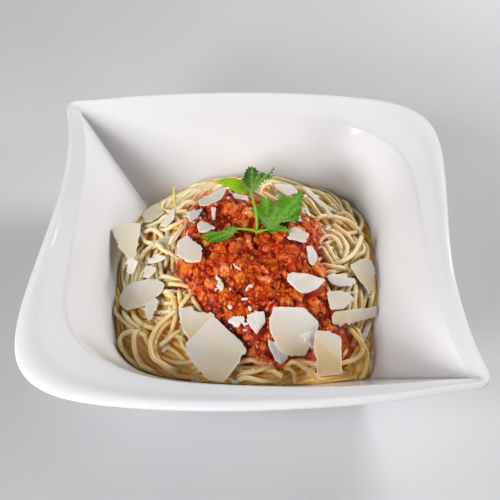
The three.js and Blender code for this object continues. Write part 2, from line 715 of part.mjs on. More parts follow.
function buildPlateOfSpaghetti() {
  const group = new THREE.Group();
  const plate = plateGeometry();
  addPiece(group, 'plate', plate, porcelain());

  const wallHeights = new Heights();
  wallHeights.add(plate);
  addPiece(group, 'spaghetti', spaghettiGeometry(wallHeights), pasta());

  const bolognese = sauceGeometry(toSolid(heapCore(GAP)));
  addPiece(group, 'bolognese_sauce', bolognese, sauce());

  const heights = new Heights();
  [plate, heapCore(0), bolognese].forEach((geometry) => heights.add(geometry));
  SHAVINGS.forEach((shaving, i) => {
    const geometry = shavingGeometry(shaving, heights);
    heights.add(geometry);
    addPiece(group, `cheese_shaving_${String(i + 1).padStart(2, '0')}`, geometry, cheese());
  });
  addPiece(group, 'parsley_sprig', sprigGeometry(heights), leafGreen());
  return group;
}

export default buildPlateOfSpaghetti();
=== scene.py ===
"""Looks of a plate of spaghetti bolognese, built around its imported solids.

Shapes are worked out in millimetres in the frame of the solids, and become metres in new_piece.
"""

import itertools
import math

import bpy
import numpy as np
from mathutils import Matrix
from mathutils.geometry import delaunay_2d_cdt


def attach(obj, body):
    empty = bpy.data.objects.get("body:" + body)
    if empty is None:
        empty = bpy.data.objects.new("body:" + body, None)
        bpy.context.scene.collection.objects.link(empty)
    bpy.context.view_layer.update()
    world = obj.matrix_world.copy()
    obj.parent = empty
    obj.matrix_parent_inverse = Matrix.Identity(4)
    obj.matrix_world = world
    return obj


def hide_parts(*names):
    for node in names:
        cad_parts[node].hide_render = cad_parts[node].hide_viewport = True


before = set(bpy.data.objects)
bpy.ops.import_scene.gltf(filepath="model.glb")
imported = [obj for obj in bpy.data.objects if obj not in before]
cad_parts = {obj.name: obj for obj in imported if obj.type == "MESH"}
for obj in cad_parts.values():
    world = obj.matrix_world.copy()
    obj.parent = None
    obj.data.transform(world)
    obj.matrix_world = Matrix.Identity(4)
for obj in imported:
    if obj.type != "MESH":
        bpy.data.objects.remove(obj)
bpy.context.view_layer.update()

MM = 0.001
SEED = 20

# Plate, with the same outlines and profiles as its solid. An outline is half of the whole one, which
# is the same after half a turn. Level 0 is the outer edge, 1 the shoulder, 2 the floor's edge, 3 the middle.
STATIONS_PER_SPAN = 12
RIM_OUTLINE = [
    (-121.5, 91.5), (-113, 94), (-101, 96.5), (-78, 103), (-52.5, 108), (-27.5, 112),
    (0.5, 115.5), (28.5, 117.5), (56.5, 118), (87.5, 116), (106.5, 103), (112, 80.5),
    (112, 55), (110.5, 27.5), (109, 0.5), (108.5, -27.5), (112, -57), (116, -77),
]
OPENING_OUTLINE = [
    (-110.5, 87), (-110.5, 87), (-97, 89), (-78, 92.5), (-56, 95.5), (-32.5, 98.5),
    (-1, 100), (24, 101), (50, 99), (69, 90.5), (84.5, 77.5), (92, 59),
    (94, 40.5), (95, 18), (96.5, -5), (97.5, -29), (100, -49.5), (104.5, -71.5),
]
FLOOR_OUTLINE = [
    (-68, 59), (-68, 59), (-62, 60.5), (-50, 62.5), (-36, 65), (-20, 67.5),
    (2, 69), (22, 69), (41, 68), (54, 64.5), (61, 55), (63, 41),
    (63, 25), (63, 10), (63, -6), (63, -22), (63.5, -37), (66, -52),
]
# Level and height, from the recess under the plate over the foot ring and the lip to the floor
FOOT_PROFILE = [(2.4, 1.8), (2.17, 1.8), (2.15, 0), (2.07, 0), (2.03, 1.8)]
BODY_PROFILE = [
    (1.98, 2.6), (1.9, 4.2), (1.76, 10.5), (1.4, 27.0), (0.97, 46.5), (0.78, 52.7), (0.1, 56.5),
    (0.012, 57.6), (0, 59.4), (0.05, 60.9), (0.16, 61.4), (0.3, 60.8), (0.5, 59.2), (0.86, 57.1),
    (0.98, 56.0), (1.07, 52.5), (1.3, 41.0), (1.6, 26.0), (1.84, 14.0), (1.94, 9.2), (2.05, 6.8),
    (2.22, 6.0), (2.5, 6.0),
]
LIP_START = 9  # from here on the profile is the inside of the plate
LEVEL_SCALE = 25.0  # millimetres in plan for one level
PROFILE_STEP = 0.9

# Maps of heights over the plate, one value each CELL millimetres
CELL = 0.5
MAP_HALF = 100.0
MAP_SIZE = int(2 * MAP_HALF / CELL) + 1
MAP_LINE = np.linspace(-MAP_HALF, MAP_HALF, MAP_SIZE)
MAP_X, MAP_Y = np.meshgrid(MAP_LINE, MAP_LINE)
COARSE = 4  # distances are worked out for every fourth point

# Heap of spaghetti, the same dome as its solid
HEAP_TOP = 48.0
HEAP_FALL = 25.0
HEAP_HALF = (76.0, 80.0)
HEAP_MIDDLE_Y = -4.0
HEAP_SQUARENESS = 2.4
HEAP_ROUNDNESS = 2.2
CORNER_DROP = 8.0  # the dome falls towards the plate's corners
CORNER_AXIS = (0.76, -0.65)
CORNER_REACH = (55, 90)
HEAP_WAVES = [(0.9, 7.3, 1, 8.1, 0), (0.6, 4.1, 0, 4.7, 2)]  # height, then length and start along x and y

# Core of the heap under the strands, with its depths under the dome
CORE_RINGS = 120
CORE_DEPTH = 6.5
CORE_EDGE_DEPTH = 0.5  # beside the wall
CORE_EDGE_REACH = 11
CORE_GUIDE_DEPTH = 3.8  # at the front, beside the strands that are laid along given points
CORE_FRONT = (30, 58)
CORE_GAP = 0.004  # between core and wall, in levels
CORE_UNDERSIDE = (2.6, 2.2, 2.0, 1.9)  # levels
RIDGE_SPACING = 2.9
RIDGE_RISE = 1.5
RIDGE_SINK = 0.8

# Strands. Those laid at random are the best stretches of wandering paths.
STRAND_RADIUS = 1.3
STRAND_SIDES = 9
STRAND_STEP = 2.0
STRAND_HALF_STEPS = 40
STRAND_COUNT = 420  # at most: the heap is full when no path is worth laying
CANDIDATES = 60  # paths to choose from for each strand
LEAST_WORTH = 1.6
LEAST_STEPS = 10
STEP_COST = 0.15
FILL_LEVEL = 1.7  # where the strands laid at random end up, over the dome
GUIDE_LEVEL = -0.2  # the same beside the strands that are laid along given points
HEADING_SPREAD = 0.55
FIRST_BEND = 0.03  # turn for each millimetre
BEND_CHANGE = 0.02
BEND_KEPT = 0.92
SHARPEST_TURN = 0.3
WALL_ROOM = 1.35  # least room between a strand's middle and the wall
WALL_REACH = 10.0  # strands nearer to the wall follow it
BUNDLE_GAP = 2.8  # between strands that run side by side
SETTLE_ROUNDS = 45
SAG = 0.03
END_SAG = 0.6
END_LENGTH = 9.0  # the last stretch of a strand dives into the heap
GUIDE_END_LENGTH = 5.0
END_DEPTH = 3.4

# Strands laid along given points: which of their two ends shows, and points in plan
GUIDES = [
    ("", [(-74, -32), (-73, -35), (-72, -39), (-68, -43), (-64, -47), (-60, -51), (-55, -54)]),
    ("", [(-68, -36), (-67, -39), (-65, -43), (-62, -47), (-57, -51), (-53, -54), (-49, -58)]),
    ("", [(-63, -37), (-61, -41), (-60, -45), (-57, -49), (-53, -52), (-49, -53), (-45, -53), (-42, -51)]),
    ("", [
        (-50, -60), (-53, -57), (-57, -55), (-61, -54), (-65, -55), (-66, -58), (-65, -62), (-63, -67),
        (-59, -71), (-54, -75),
    ]),
    ("", [(-55, -53), (-58, -57), (-58, -61), (-57, -65), (-54, -70), (-51, -74), (-46, -76), (-42, -77)]),
    ("", [(-41, -33), (-40, -38), (-38, -43), (-37, -49), (-38, -54), (-39, -57)]),
    ("", [(-37, -31), (-36, -38), (-35, -44)]),
    ("", [(-34, -31), (-34, -35), (-33, -39)]),
    ("", [
        (-39, -50), (-43, -54), (-46, -58), (-47, -63), (-45, -68), (-41, -73), (-36, -76), (-31, -79),
        (-25, -80), (-20, -80),
    ]),
    ("", [
        (-25, -33), (-30, -37), (-34, -43), (-37, -47), (-42, -51), (-46, -55), (-48, -59), (-49, -63),
        (-48, -67), (-46, -71), (-41, -73), (-37, -75), (-33, -73),
    ]),
    ("", [(-50, -22), (-45, -24), (-39, -26), (-34, -28), (-30, -30), (-25, -32)]),
    ("", [(-45, -28), (-39, -30), (-32, -31), (-26, -32)]),
    ("last", [(-31, -51), (-33, -55), (-37, -58), (-41, -61), (-43, -63)]),
    ("", [(-36, -58), (-33, -59), (-30, -62)]),
    ("last", [(-3, -72), (-1, -74), (1, -76), (2, -78)]),
    ("", [(-33, 35), (-40, 34), (-43, 30), (-48, 25), (-52, 23), (-57, 21), (-61, 21), (-64, 19)]),
    ("", [(-36, 26), (-40, 27), (-45, 25), (-49, 23), (-53, 21)]),
    ("", [(-37, 21), (-41, 16), (-46, 14), (-51, 13), (-56, 14)]),
    ("", [(-66, 18), (-64, 13), (-61, 7), (-56, 4), (-52, 4), (-48, 4)]),
    ("first", [(-37, 13), (-41, 8), (-44, 4), (-47, 0)]),
    ("", [(-50, 3), (-53, 2), (-58, -1), (-61, -6), (-63, -11)]),
    ("", [(-55, 3), (-49, -5), (-44, -7), (-41, -8)]),
    ("", [(-63, 15), (-59, 15), (-54, 11), (-49, 7)]),
    ("first", [(30, 61), (33, 58), (35, 50), (39, 45), (43, 40), (47, 35), (51, 29)]),
    ("", [(29, 49), (34, 44), (37, 37), (41, 32), (45, 29)]),
    ("", [(50, 42), (57, 44), (61, 39), (64, 33)]),
    ("", [(3, 46), (5, 52), (10, 57), (13, 55), (15, 50)]),
    ("", [(47, 31), (51, 26), (55, 22), (58, 19), (60, 15)]),
    ("", [(36, 25), (42, 31), (47, 33), (54, 35), (59, 35), (63, 32), (67, 30)]),
    ("", [(57, 15), (63, 17), (66, 16), (66, 11), (62, 8), (58, 3)]),
    ("", [(42, 23), (45, 21), (50, 19), (53, 16), (55, 13), (56, 9), (54, 2), (51, -2)]),
    ("", [(42, 10), (44, 5), (46, 2), (49, -2), (52, -2)]),
    ("", [(40, 6), (42, 1), (45, -3), (49, -6)]),
    ("", [(38, 3), (39, 8), (40, 10), (44, 14), (48, 14), (51, 11), (53, 7)]),
    ("first", [(65, 21), (63, 14), (60, 7), (56, 1), (52, -3), (48, -3)]),
    ("", [(38, -8), (43, -9), (48, -8), (52, -7), (56, -4)]),
    ("", [(71, -29), (69, -34), (66, -40), (64, -45)]),
    ("", [(59, -38), (62, -41), (64, -46), (66, -50)]),
    ("", [(55, -40), (59, -43), (61, -45), (64, -48), (67, -51), (68, -55), (67, -60), (65, -65)]),
    ("", [(52, -57), (56, -58), (61, -57), (64, -54), (65, -50)]),
    ("", [(55, -49), (56, -52), (54, -55), (52, -58)]),
    ("", [(-4, -80), (5, -79), (13, -79), (21, -78)]),
    ("", [(-2, -77), (5, -76), (10, -74), (14, -72), (19, -70)]),
    ("", [(-3, -70), (4, -70), (9, -70), (16, -70)]),
    ("last", [(13, -73), (17, -75), (21, -77)]),
    ("", [(22, -69), (29, -68), (34, -67), (39, -65)]),
    ("", [(22, -69), (24, -71), (27, -72), (28, -74), (29, -77)]),
    ("", [(22, -69), (27, -69), (30, -70), (35, -71), (39, -72), (41, -74)]),
]
UPRIGHT_RADIUS = 1.0
UPRIGHT_STRAND = [(-44, 30, 35), (-46.2, 33.5, 36.5), (-47, 35.6, 40), (-47, 36, 48.3)]

# Sauce, the same patch as its solid
SAUCE_MIDDLE = (3.0, -12.0)
SAUCE_DEPTH = 5.2
SAUCE_EDGE = 1.3
SAUCE_LUMP = 0.8
SAUCE_OUTLINE = [
    (-33, 43), (-19, 48), (-7, 42), (10, 37), (29, 30), (42, 22), (41, 8),
    (38, -5), (44, -18), (41, -29), (56, -41), (56, -51), (48, -59), (36, -63),
    (22, -68), (7, -71), (-3, -63), (-13, -54), (-22, -47), (-26, -34),
    (-38, -29), (-42, -19), (-37, -6), (-41, 8), (-36, 24),
]
SAUCE_BOX = (-46.0, -76.0, 61.0, 53.0)  # low and high corner of the grid that carries its relief
SAUCE_CELL = 0.31
SAUCE_RIM = 1.09  # where the relief ends, with the patch's edge at 1
SAUCE_LIMIT = 2.2  # how far lumps rise over the plain patch
FILM_WIDTH, FILM_DEPTH = 5, 0.35  # the film of sauce fills what lies deeper among the lumps
# Lumps of mince: count, middle size and its spread, smallest and largest, rise, tone and its spread
CLUMPS = (420, 3.2, 0.3, (1.9, 5.2), 0.6, (0.04, 0.15))
SMALL_CLUMPS = (420, 1.9, 0.3, (1.2, 3.0), 0.58, (0.03, 0.14))
GRAINS = (9000, 0.62, 0.35, (0.4, 1.5), 0.8, (0.02, 0.13))
# Hollows in the patch, sunk and also painted darker (painted shade): place, radius and depth
PITS = [
    (-3, -38, 2.2, 4.0), (33, -50, 1.8, 3.0), (8, -29, 1.6, 2.5), (13, -34, 1.5, 2.2), (-1, -57, 4.0, 2.5),
]
CRUMB_COUNT = 300
CRUMB_BOX = (-42, -70, 57, 48)

# Shavings of cheese
SHAVING_THICKNESS = 1.15
LARGE_SHAVING = 16
CORNER_CUTS = (0.8, 0.35)
STRIPES = 7.5  # marks of the plane, in radians for each millimetre
RIM_WIDTH = 0.7
# Tone at the back edge, how far it falls to the front edge (painted shade), and how creamy (a warm tint that
# also paints light on dim pieces), with other values for some
SHAVING_TONE = (0.93, 0.5, 0)
SHAVING_TONES = {
    1: (0.85, 0.75, 0), 2: (0.86, 0.5, 0), 3: (0.85, 0.7, 0.1), 7: (0.8, 0.95, 0), 11: (0.83, 0.5, 0),
    23: (0.9, 0.8, 0.9), 24: (0.6, 0.3, 0.3), 25: (0.9, 0.3, 0.4), 26: (0.9, 0.3, 0.4),
    27: (0.9, 0.3, 0.5), 29: (0.9, 0.3, 0.6),
}

# Chips of cheese: outline along and across, then the two ends of each in plan and its width
CHIP_SHAPE = [(0, 0), (0.12, -0.7), (0.5, -1), (0.85, -0.75), (1, -0.1), (0.88, 0.65), (0.5, 1), (0.2, 0.8)]
CHIPS = [
    ((-53, 5), (-46, 8), 3.8), ((-46, -3), (-37, 12), 1.3), ((-37, 2), (-35, 5), 2.2),
    ((-45, -15), (-43, -21), 3.0), ((-48, -47), (-46, -52), 2.4), ((-43, -65), (-38, -62), 2.8),
    ((-26, -81), (-22, -79), 2.4), ((-26, -62), (-23, -65), 2.0), ((30, 21), (33, 18), 2.6),
    ((26, 17), (29, 16), 1.8), ((35, 26), (38, 31), 2.2), ((30, 35), (34, 33), 3.0),
    ((43, 22), (47, 27), 2.2), ((55, -23), (59, -19), 2.6), ((65, -11), (69, -18), 2.4),
    ((69, -18), (72, -17), 2.6), ((50, -25), (54, -24), 2.0), ((65, -46), (70, -29), 3.6),
    ((-9, -23), (-4, -27), 1.8), ((-1, -37), (3, -35), 2.4), ((-3, -42), (1, -42), 1.4),
    ((6, -63), (8, -66), 1.6), ((-31, 25), (-27, 16), 2.6), ((-53, -28), (-49, -27), 2.0),
    ((-40, -11), (-36, -17), 2.2), ((-66, 0), (-62, 2), 2.4), ((-56, -1), (-52, 0), 2.0),
    ((-24, 31), (-22, 27), 1.8), ((54, -3), (57, -5), 2.0), ((-6, -79), (-1, -81), 2.2),
]
# Crumbs of cheese: middle of each group, its spread and its count
CRUMB_SPOTS = [
    (-42, -62, 3, 8), (-44, -46, 5, 14), (-36, -36, 4, 8), (-52, 5, 6, 16), (-57, -12, 5, 12),
    (-48, 20, 5, 10), (-34, 14, 4, 8), (28, 20, 3, 8), (52, -24, 6, 16), (60, -18, 5, 10),
    (1, -62, 3, 6), (12, -52, 5, 5), (-12, -35, 5, 5), (33, -12, 4, 4), (-24, 20, 5, 6),
    (-10, 30, 4, 4), (0, -75, 8, 5), (32, -70, 4, 5),
]

# Parsley: outline in plan, foot, slopes and waves as in its solid, base and tips of the veins,
# height and length of the teeth, and how dark and how mottled each leaf is; the leaf in the shade is painted
# dark, painted shade
LEAVES = [
    {  # pale leaf at the back left
        "foot": (-2, 16, 69), "slope": (0.12, 0), "wave": 0.5, "tone": 0.95,
        "outline": [
            (-22.0, 26.3), (-19.8, 27.1), (-16.0, 27.9), (-11.3, 27.3), (-8.4, 26.0), (-6.4, 22.9),
            (-4.8, 18.9), (-3.2, 15.0), (-6.8, 15.3), (-10.7, 17.5), (-14.6, 20.8), (-18.1, 23.2),
        ],
        "base": (-3.4, 15.4), "tips": [(-21.5, 26.2)], "teeth": 0.25, "tooth": 2.4, "mottle": 0.0,
    },
    {  # dark leaf in the shade
        # its low tone is painted shade
        "foot": (-2, 16, 69), "slope": (0, 0.3), "wave": 0.9, "tone": 0.12,
        "outline": [
            (-3.2, 15.1), (-5.8, 19.7), (-7.4, 22.1), (-8.4, 23.3), (-6.6, 24.7), (-6.3, 26.8),
            (-5.6, 29.2), (-4.3, 30.9), (-1.9, 31.4), (0.2, 31.1), (0.4, 30.0), (2.0, 29.5),
            (0.9, 27.6), (2.9, 28.5), (5.3, 28.2), (6.3, 27.5), (8.3, 29.4), (9.5, 31.6),
            (10.4, 33.3), (10.1, 31.1), (9.2, 29.3), (8.1, 27.4), (10.0, 27.3), (9.2, 25.7),
            (6.5, 24.2), (4.2, 22.5), (2.1, 19.3), (0.4, 17.2), (-0.9, 15.6),
        ],
        "base": (-1.6, 15.6), "tips": [(-2, 31), (-8, 23.3), (2, 29), (6, 27.6), (10.2, 33), (9.6, 27)],
        "teeth": 1.2, "tooth": 1.9, "mottle": 0.8,
    },
    {  # big leaf with its lobes
        "foot": (5, -4, 59), "slope": (-0.07, -0.1), "wave": 1.1, "tone": 0.5,
        "outline": [
            (10.2, -4.4), (8.8, -1.6), (6.8, 0.8), (3.9, 4.1), (1.4, 8.2), (-0.2, 12.9), (0.3, 17.7),
            (1.9, 18.7), (3.4, 17.1), (4.1, 23.1), (5.4, 25.3), (7.4, 26.0), (8.8, 25.1), (10.8, 24.4),
            (11.1, 21.5), (13.0, 23.3), (14.0, 27.9), (14.9, 30.7), (16.9, 31.1), (18.1, 30.9),
            (18.9, 28.1), (20.8, 27.8), (22.7, 29.6), (23.7, 32.4), (26.1, 34.2), (28.3, 34.2),
            (28.4, 31.6), (28.0, 28.4), (28.2, 24.0), (27.5, 19.4), (26.7, 15.7), (26.5, 13.0),
            (25.8, 9.8), (24.4, 8.0), (19.3, 6.8), (16.0, 6.2), (14.6, 4.6), (16.5, 3.2), (19.3, 1.7),
            (22.4, -0.6), (19.8, -1.1), (17.0, -0.8), (14.7, -0.6), (12.9, -2.9), (11.6, -4.5),
        ],
        "base": (10.0, 0.0),
        "tips": [(7.0, 25.6), (15.6, 30.8), (28, 34), (0.6, 17.2), (28, 23), (26, 13), (22, -0.4)],
        "teeth": 1.7, "tooth": 2.15, "mottle": 1.0,
    },
    {  # leaf that lies low on the sauce
        "foot": (-7, 0, 57), "slope": (0.08, 0.05), "wave": 0.5, "tone": 0.4,
        "outline": [
            (-27.8, -6.0), (-26.3, -5.1), (-24.1, -3.8), (-21.8, -3.3), (-19.0, -3.6), (-16.8, -3.2),
            (-15.5, -1.6), (-14.0, 0.5), (-11.6, 1.2), (-9.2, 0.9), (-7.8, -0.2), (-8.1, -2.3),
            (-9.4, -4.1), (-11.1, -5.9), (-13.2, -7.1), (-15.4, -9.2), (-18.0, -9.9), (-21.6, -10.4),
            (-24.4, -9.9), (-26.4, -8.2),
        ],
        "base": (-8.0, -0.8), "tips": [(-27.2, -6.4), (-14, 0.2), (-15.2, -8.8), (-22, -9.6)],
        "teeth": 1.2, "tooth": 2.0, "mottle": 0.3,
    },
]
STEMS = [
    [(3, -1, 54.5), (2.8, 1.5, 59), (2, 5, 63), (0, 11, 67), (-2, 15.8, 69)],
    [(3, -1, 55.5), (5, -2, 57.6), (10, -0.5, 58.2)],
    [(3, -1, 55.5), (0, -1.2, 57.3), (-8, -0.6, 56.8)],
]
STEM_RADIUS = 0.75
STEM_SIDES = 10
LEAF_THICKNESS = 0.4
VEIN_SPACING = 2.6

# Camera, fitted to the plate's rim in a square picture
CAMERA_PLACE = (-0.05, -311.93, 397.75)
CAMERA_DOWN = math.radians(49)
CAMERA_ROLL = math.radians(4.058)
CAMERA_LENS = 60.25
SENSOR_WIDTH = 36

# Lamps: direction and height in degrees, size in metres, power, and whether they make only shine
LAMP_DISTANCE = 1.2
LAMP_TARGET = (0, 0, 0.03)
LAMPS = {
    "front_low": (-125, 20, 0.35, 11.4, False),
    "front_left": (-142, 35, 0.35, 6.4, False),
    "right": (0, 25, 0.5, 4.0, False),
    "back_right": (45, 35, 0.5, 11.6, False),
    "front_shine": (-130, 32, 0.05, 2.6, True),
    "back_shine": (50, 40, 0.05, 1.2, True),
}
WORLD_STRENGTH = 0.05
FLOOR_HALF = 3.0


def closed_spline(control, per_span):
    """Points of a closed cubic B-spline."""
    control = np.asarray(control, float)
    u = np.arange(per_span)[:, None] / per_span
    weights = np.hstack([
        (1 - u) ** 3 / 6,
        (3 * u ** 3 - 6 * u ** 2 + 4) / 6,
        (-3 * u ** 3 + 3 * u ** 2 + 3 * u + 1) / 6,
        u ** 3 / 6,
    ])
    corners = np.stack([np.roll(control, shift, axis=0) for shift in (1, 0, -1, -2)], axis=1)
    return (weights @ corners).reshape(-1, control.shape[1])


def through_points(points, spacing):
    """A Catmull-Rom curve through points, as points a given distance apart."""
    points = np.asarray(points, float)
    padded = np.vstack([2 * points[0] - points[1], points, 2 * points[-1] - points[-2]])
    u = np.linspace(0, 1, 12, endpoint=False)[:, None]
    pieces = []
    for a, b, c, d in zip(padded, padded[1:], padded[2:], padded[3:]):
        pieces.append(0.5 * (2 * b + (c - a) * u + (2 * a - 5 * b + 4 * c - d) * u ** 2
                             + (3 * b - a - 3 * c + d) * u ** 3))
    return respaced(np.vstack([*pieces, points[-1:]]), spacing)


def respaced(line, spacing):
    """The same line as points a given distance apart."""
    lengths = np.r_[0, np.cumsum(np.linalg.norm(np.diff(line, axis=0), axis=1))]
    places = np.linspace(0, lengths[-1], max(3, int(round(lengths[-1] / spacing)) + 1))
    return np.stack([np.interp(places, lengths, line[:, k]) for k in range(line.shape[1])], axis=1)


def smoothstep(x, low=0.0, high=1.0):
    t = np.clip((np.asarray(x, float) - low) / (high - low), 0, 1)
    return t * t * (3 - 2 * t)


def noise(points, size, seed):
    """Smooth random values between -1 and 1 over points in two or three dimensions."""
    scaled = np.asarray(points, float) / size
    cells = np.floor(scaled).astype(np.int64)
    part = scaled - cells
    part = part * part * (3 - 2 * part)
    total = 0.0
    for corner in itertools.product((0, 1), repeat=scaled.shape[-1]):
        corner = np.array(corner)
        weight = np.prod(np.where(corner, part, 1 - part), axis=-1)
        total = total + weight * cell_values(cells + corner, seed)
    return total


def cell_values(cells, seed):
    """A random value between -1 and 1 for each whole-numbered cell."""
    mixed = np.full(cells.shape[:-1], seed * 668265263, np.int64)
    for k, prime in enumerate((73856093, 19349663, 83492791)[:cells.shape[-1]]):
        mixed ^= cells[..., k] * prime
    mixed = ((mixed ^ (mixed >> 13)) * 1274126177) & 0xFFFFFFFF
    return ((mixed ^ (mixed >> 15)) & 0xFFFF) / 32767.5 - 1


def layered_noise(points, size, seed, layers=3):
    """Noise with finer and finer layers on top of it."""
    total = sum(noise(points, size / 2 ** k, seed + k) / 2 ** k for k in range(layers))
    return total / (2 - 2 ** (1 - layers))


def split_quads(quads):
    quads = np.asarray(quads)
    return np.vstack([quads[:, [0, 1, 2]], quads[:, [0, 2, 3]]])


def loft(rings):
    """Points and triangles of a skin over rings, each end closed by a point in its middle."""
    rings = np.asarray(rings, float)
    rows, count = rings.shape[:2]
    here = np.arange(count)
    following = (here + 1) % count
    top = (rows - 1) * count
    quads = [
        np.stack([low + here, low + following, low + count + following, low + count + here], axis=1)
        for low in range(0, top, count)
    ]
    first, last = np.full((2, count), [[rows * count], [rows * count + 1]])
    triangles = np.vstack([
        split_quads(np.vstack(quads)),
        np.stack([first, following, here], axis=1),
        np.stack([last, top + here, top + following], axis=1),
    ])
    return np.vstack([rings.reshape(-1, 3), rings[0].mean(0), rings[-1].mean(0)]), triangles


def tube(path, radii, sides):
    """Points and triangles of a tube along a path."""
    along = np.gradient(path, axis=0)
    along /= np.linalg.norm(along, axis=1)[:, None] + 1e-9
    up = np.array([0, 0, 1.0]) if np.abs(along[:, 2]).max() < 0.95 else np.array([0, 1.0, 0.2])
    side = np.cross(along, up)
    side /= np.linalg.norm(side, axis=1)[:, None] + 1e-9
    over = np.cross(side, along)
    turn = np.arange(sides) * 2 * math.pi / sides
    rings = path[:, None] + np.asarray(radii)[:, None, None] * (
        side[:, None] * np.cos(turn)[:, None] + over[:, None] * np.sin(turn)[:, None]
    )
    return loft(rings)


def joined(parts):
    """Points and triangles of several meshes as one, and the number of the part for each point."""
    points, triangles, numbers, start = [], [], [], 0
    for number, (part_points, part_triangles) in enumerate(parts):
        points.append(part_points)
        triangles.append(part_triangles + start)
        numbers.append(np.full(len(part_points), number))
        start += len(part_points)
    return np.vstack(points), np.vstack(triangles), np.concatenate(numbers)


def new_piece(name, points, triangles, material, replaced=(), values=None, sharp=None):
    """A shown piece from points in millimetres, riding on the plate of food."""
    mesh = bpy.data.meshes.new(name)
    triangles = np.asarray(triangles, np.int32)
    mesh.vertices.add(len(points))
    mesh.vertices.foreach_set("co", (np.asarray(points) * MM).astype(np.float32).ravel())
    mesh.loops.add(triangles.size)
    mesh.loops.foreach_set("vertex_index", triangles.ravel())
    mesh.polygons.add(len(triangles))
    mesh.polygons.foreach_set("loop_start", np.arange(0, triangles.size, 3, dtype=np.int32))
    mesh.polygons.foreach_set("use_smooth", np.ones(len(triangles), bool))
    mesh.update(calc_edges=True)
    mesh.validate()
    for key, value in (values or {}).items():
        attribute = mesh.attributes.new(key, "FLOAT", "POINT")
        attribute.data.foreach_set("value", np.asarray(value, np.float32))
    if sharp:
        mesh.set_sharp_from_angle(angle=math.radians(sharp))
    mesh.materials.append(material)
    piece = bpy.data.objects.new(name, mesh)
    bpy.context.scene.collection.objects.link(piece)
    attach(piece, "root")
    if replaced:
        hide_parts(*replaced)


def cells_of(places):
    """Rows and columns of the map under places in plan."""
    index = np.clip(np.rint((np.asarray(places)[..., :2] + MAP_HALF) / CELL).astype(int), 0, MAP_SIZE - 1)
    return index[..., 1], index[..., 0]


def node_triangles(name):
    """The corners of a solid's triangles, in millimetres."""
    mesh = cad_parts[name].data
    mesh.calc_loop_triangles()
    corners = np.empty(3 * len(mesh.loop_triangles), np.int32)
    mesh.loop_triangles.foreach_get("vertices", corners)
    places = np.empty(3 * len(mesh.vertices), np.float32)
    mesh.vertices.foreach_get("co", places)
    return places.reshape(-1, 3)[corners].reshape(-1, 3, 3).astype(float) / MM


def height_map(triangles, highest=True):
    """The highest or lowest of some triangles over each point of the map."""
    field = np.full((MAP_SIZE, MAP_SIZE), -np.inf if highest else np.inf)
    pick = np.maximum if highest else np.minimum
    for a, b, c in triangles:
        area = (b[0] - a[0]) * (c[1] - a[1]) - (c[0] - a[0]) * (b[1] - a[1])
        if abs(area) < 1e-6:
            continue
        low = np.ceil((np.minimum(np.minimum(a, b), c)[:2] + MAP_HALF) / CELL).astype(int)
        high = np.floor((np.maximum(np.maximum(a, b), c)[:2] + MAP_HALF) / CELL).astype(int) + 1
        low, high = np.clip(low, 0, MAP_SIZE), np.clip(high, 0, MAP_SIZE)
        rows, columns = slice(low[1], high[1]), slice(low[0], high[0])
        x, y = MAP_X[rows, columns], MAP_Y[rows, columns]
        v = ((x - a[0]) * (c[1] - a[1]) - (c[0] - a[0]) * (y - a[1])) / area
        w = ((b[0] - a[0]) * (y - a[1]) - (x - a[0]) * (b[1] - a[1])) / area
        z = a[2] + v * (b[2] - a[2]) + w * (c[2] - a[2])
        inside = (v >= -1e-6) & (w >= -1e-6) & (v + w <= 1 + 1e-6)
        field[rows, columns] = np.where(inside, pick(field[rows, columns], z), field[rows, columns])
    return field


def undersides(beginnings):
    """A map of the undersides of the solids whose names begin with given words."""
    chosen = [node_triangles(name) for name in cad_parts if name.startswith(beginnings)]
    return height_map(np.vstack(chosen), highest=False)


def blurred(field, width):
    """A map smoothed by a bell curve of a given width in cells."""
    reach = int(3 * width)
    bell = np.exp(-0.5 * (np.arange(-reach, reach + 1) / width) ** 2)
    bell /= bell.sum()
    for axis in (0, 1):
        padded = np.pad(field, [(reach, reach) if k == axis else (0, 0) for k in (0, 1)], mode="edge")
        field = sum(
            weight * np.take(padded, range(k, k + field.shape[axis]), axis=axis)
            for k, weight in enumerate(bell)
        )
    return field


def lowest_nearby(field, reach):
    """The lowest value of a map within some cells of each point."""
    for axis in (0, 1):
        field = np.minimum.reduce([np.roll(field, shift, axis=axis) for shift in range(-reach, reach + 1)])
    return field


def distance_to_line(places, line):
    """Distance in plan from places to a closed line."""
    best = np.full(len(places), np.inf)
    for start, step in zip(line, np.roll(line, -1, axis=0) - line):
        t = np.clip(((places - start) @ step) / (step @ step + 1e-12), 0, 1)
        best = np.minimum(best, np.hypot(*(places - (start + t[:, None] * step)).T))
    return best


def inside_line(places, line):
    """Whether places in plan lie inside a closed line."""
    inside = np.zeros(len(places), bool)
    x, y = places.T
    for (ax, ay), (bx, by) in zip(line, np.roll(line, -1, axis=0)):
        crosses = ((ay > y) != (by > y)) & (x < ax + (bx - ax) * (y - ay) / (by - ay + 1e-12))
        inside ^= crosses
    return inside


def depth_inside(places, line):
    """How deep places in plan lie inside a closed line, below zero outside it."""
    distance = distance_to_line(places, line)
    return np.where(inside_line(places, line), distance, -distance)


def depth_map(line):
    """How deep each point of the map lies inside a closed line."""
    coarse = MAP_LINE[::COARSE]
    x, y = np.meshgrid(coarse, coarse)
    depth = depth_inside(np.stack([x.ravel(), y.ravel()], axis=1), line).reshape(x.shape)
    rows = np.stack([np.interp(MAP_LINE, coarse, row) for row in depth])
    return np.stack([np.interp(MAP_LINE, coarse, column) for column in rows.T], axis=1)


def outward_of(line):
    """Directions in plan out of a closed line, one for each of its points."""
    along = np.roll(line, -1, axis=0) - np.roll(line, 1, axis=0)
    outward = np.stack([along[:, 1], -along[:, 0]], axis=1)
    return outward / (np.linalg.norm(outward, axis=1)[:, None] + 1e-9)


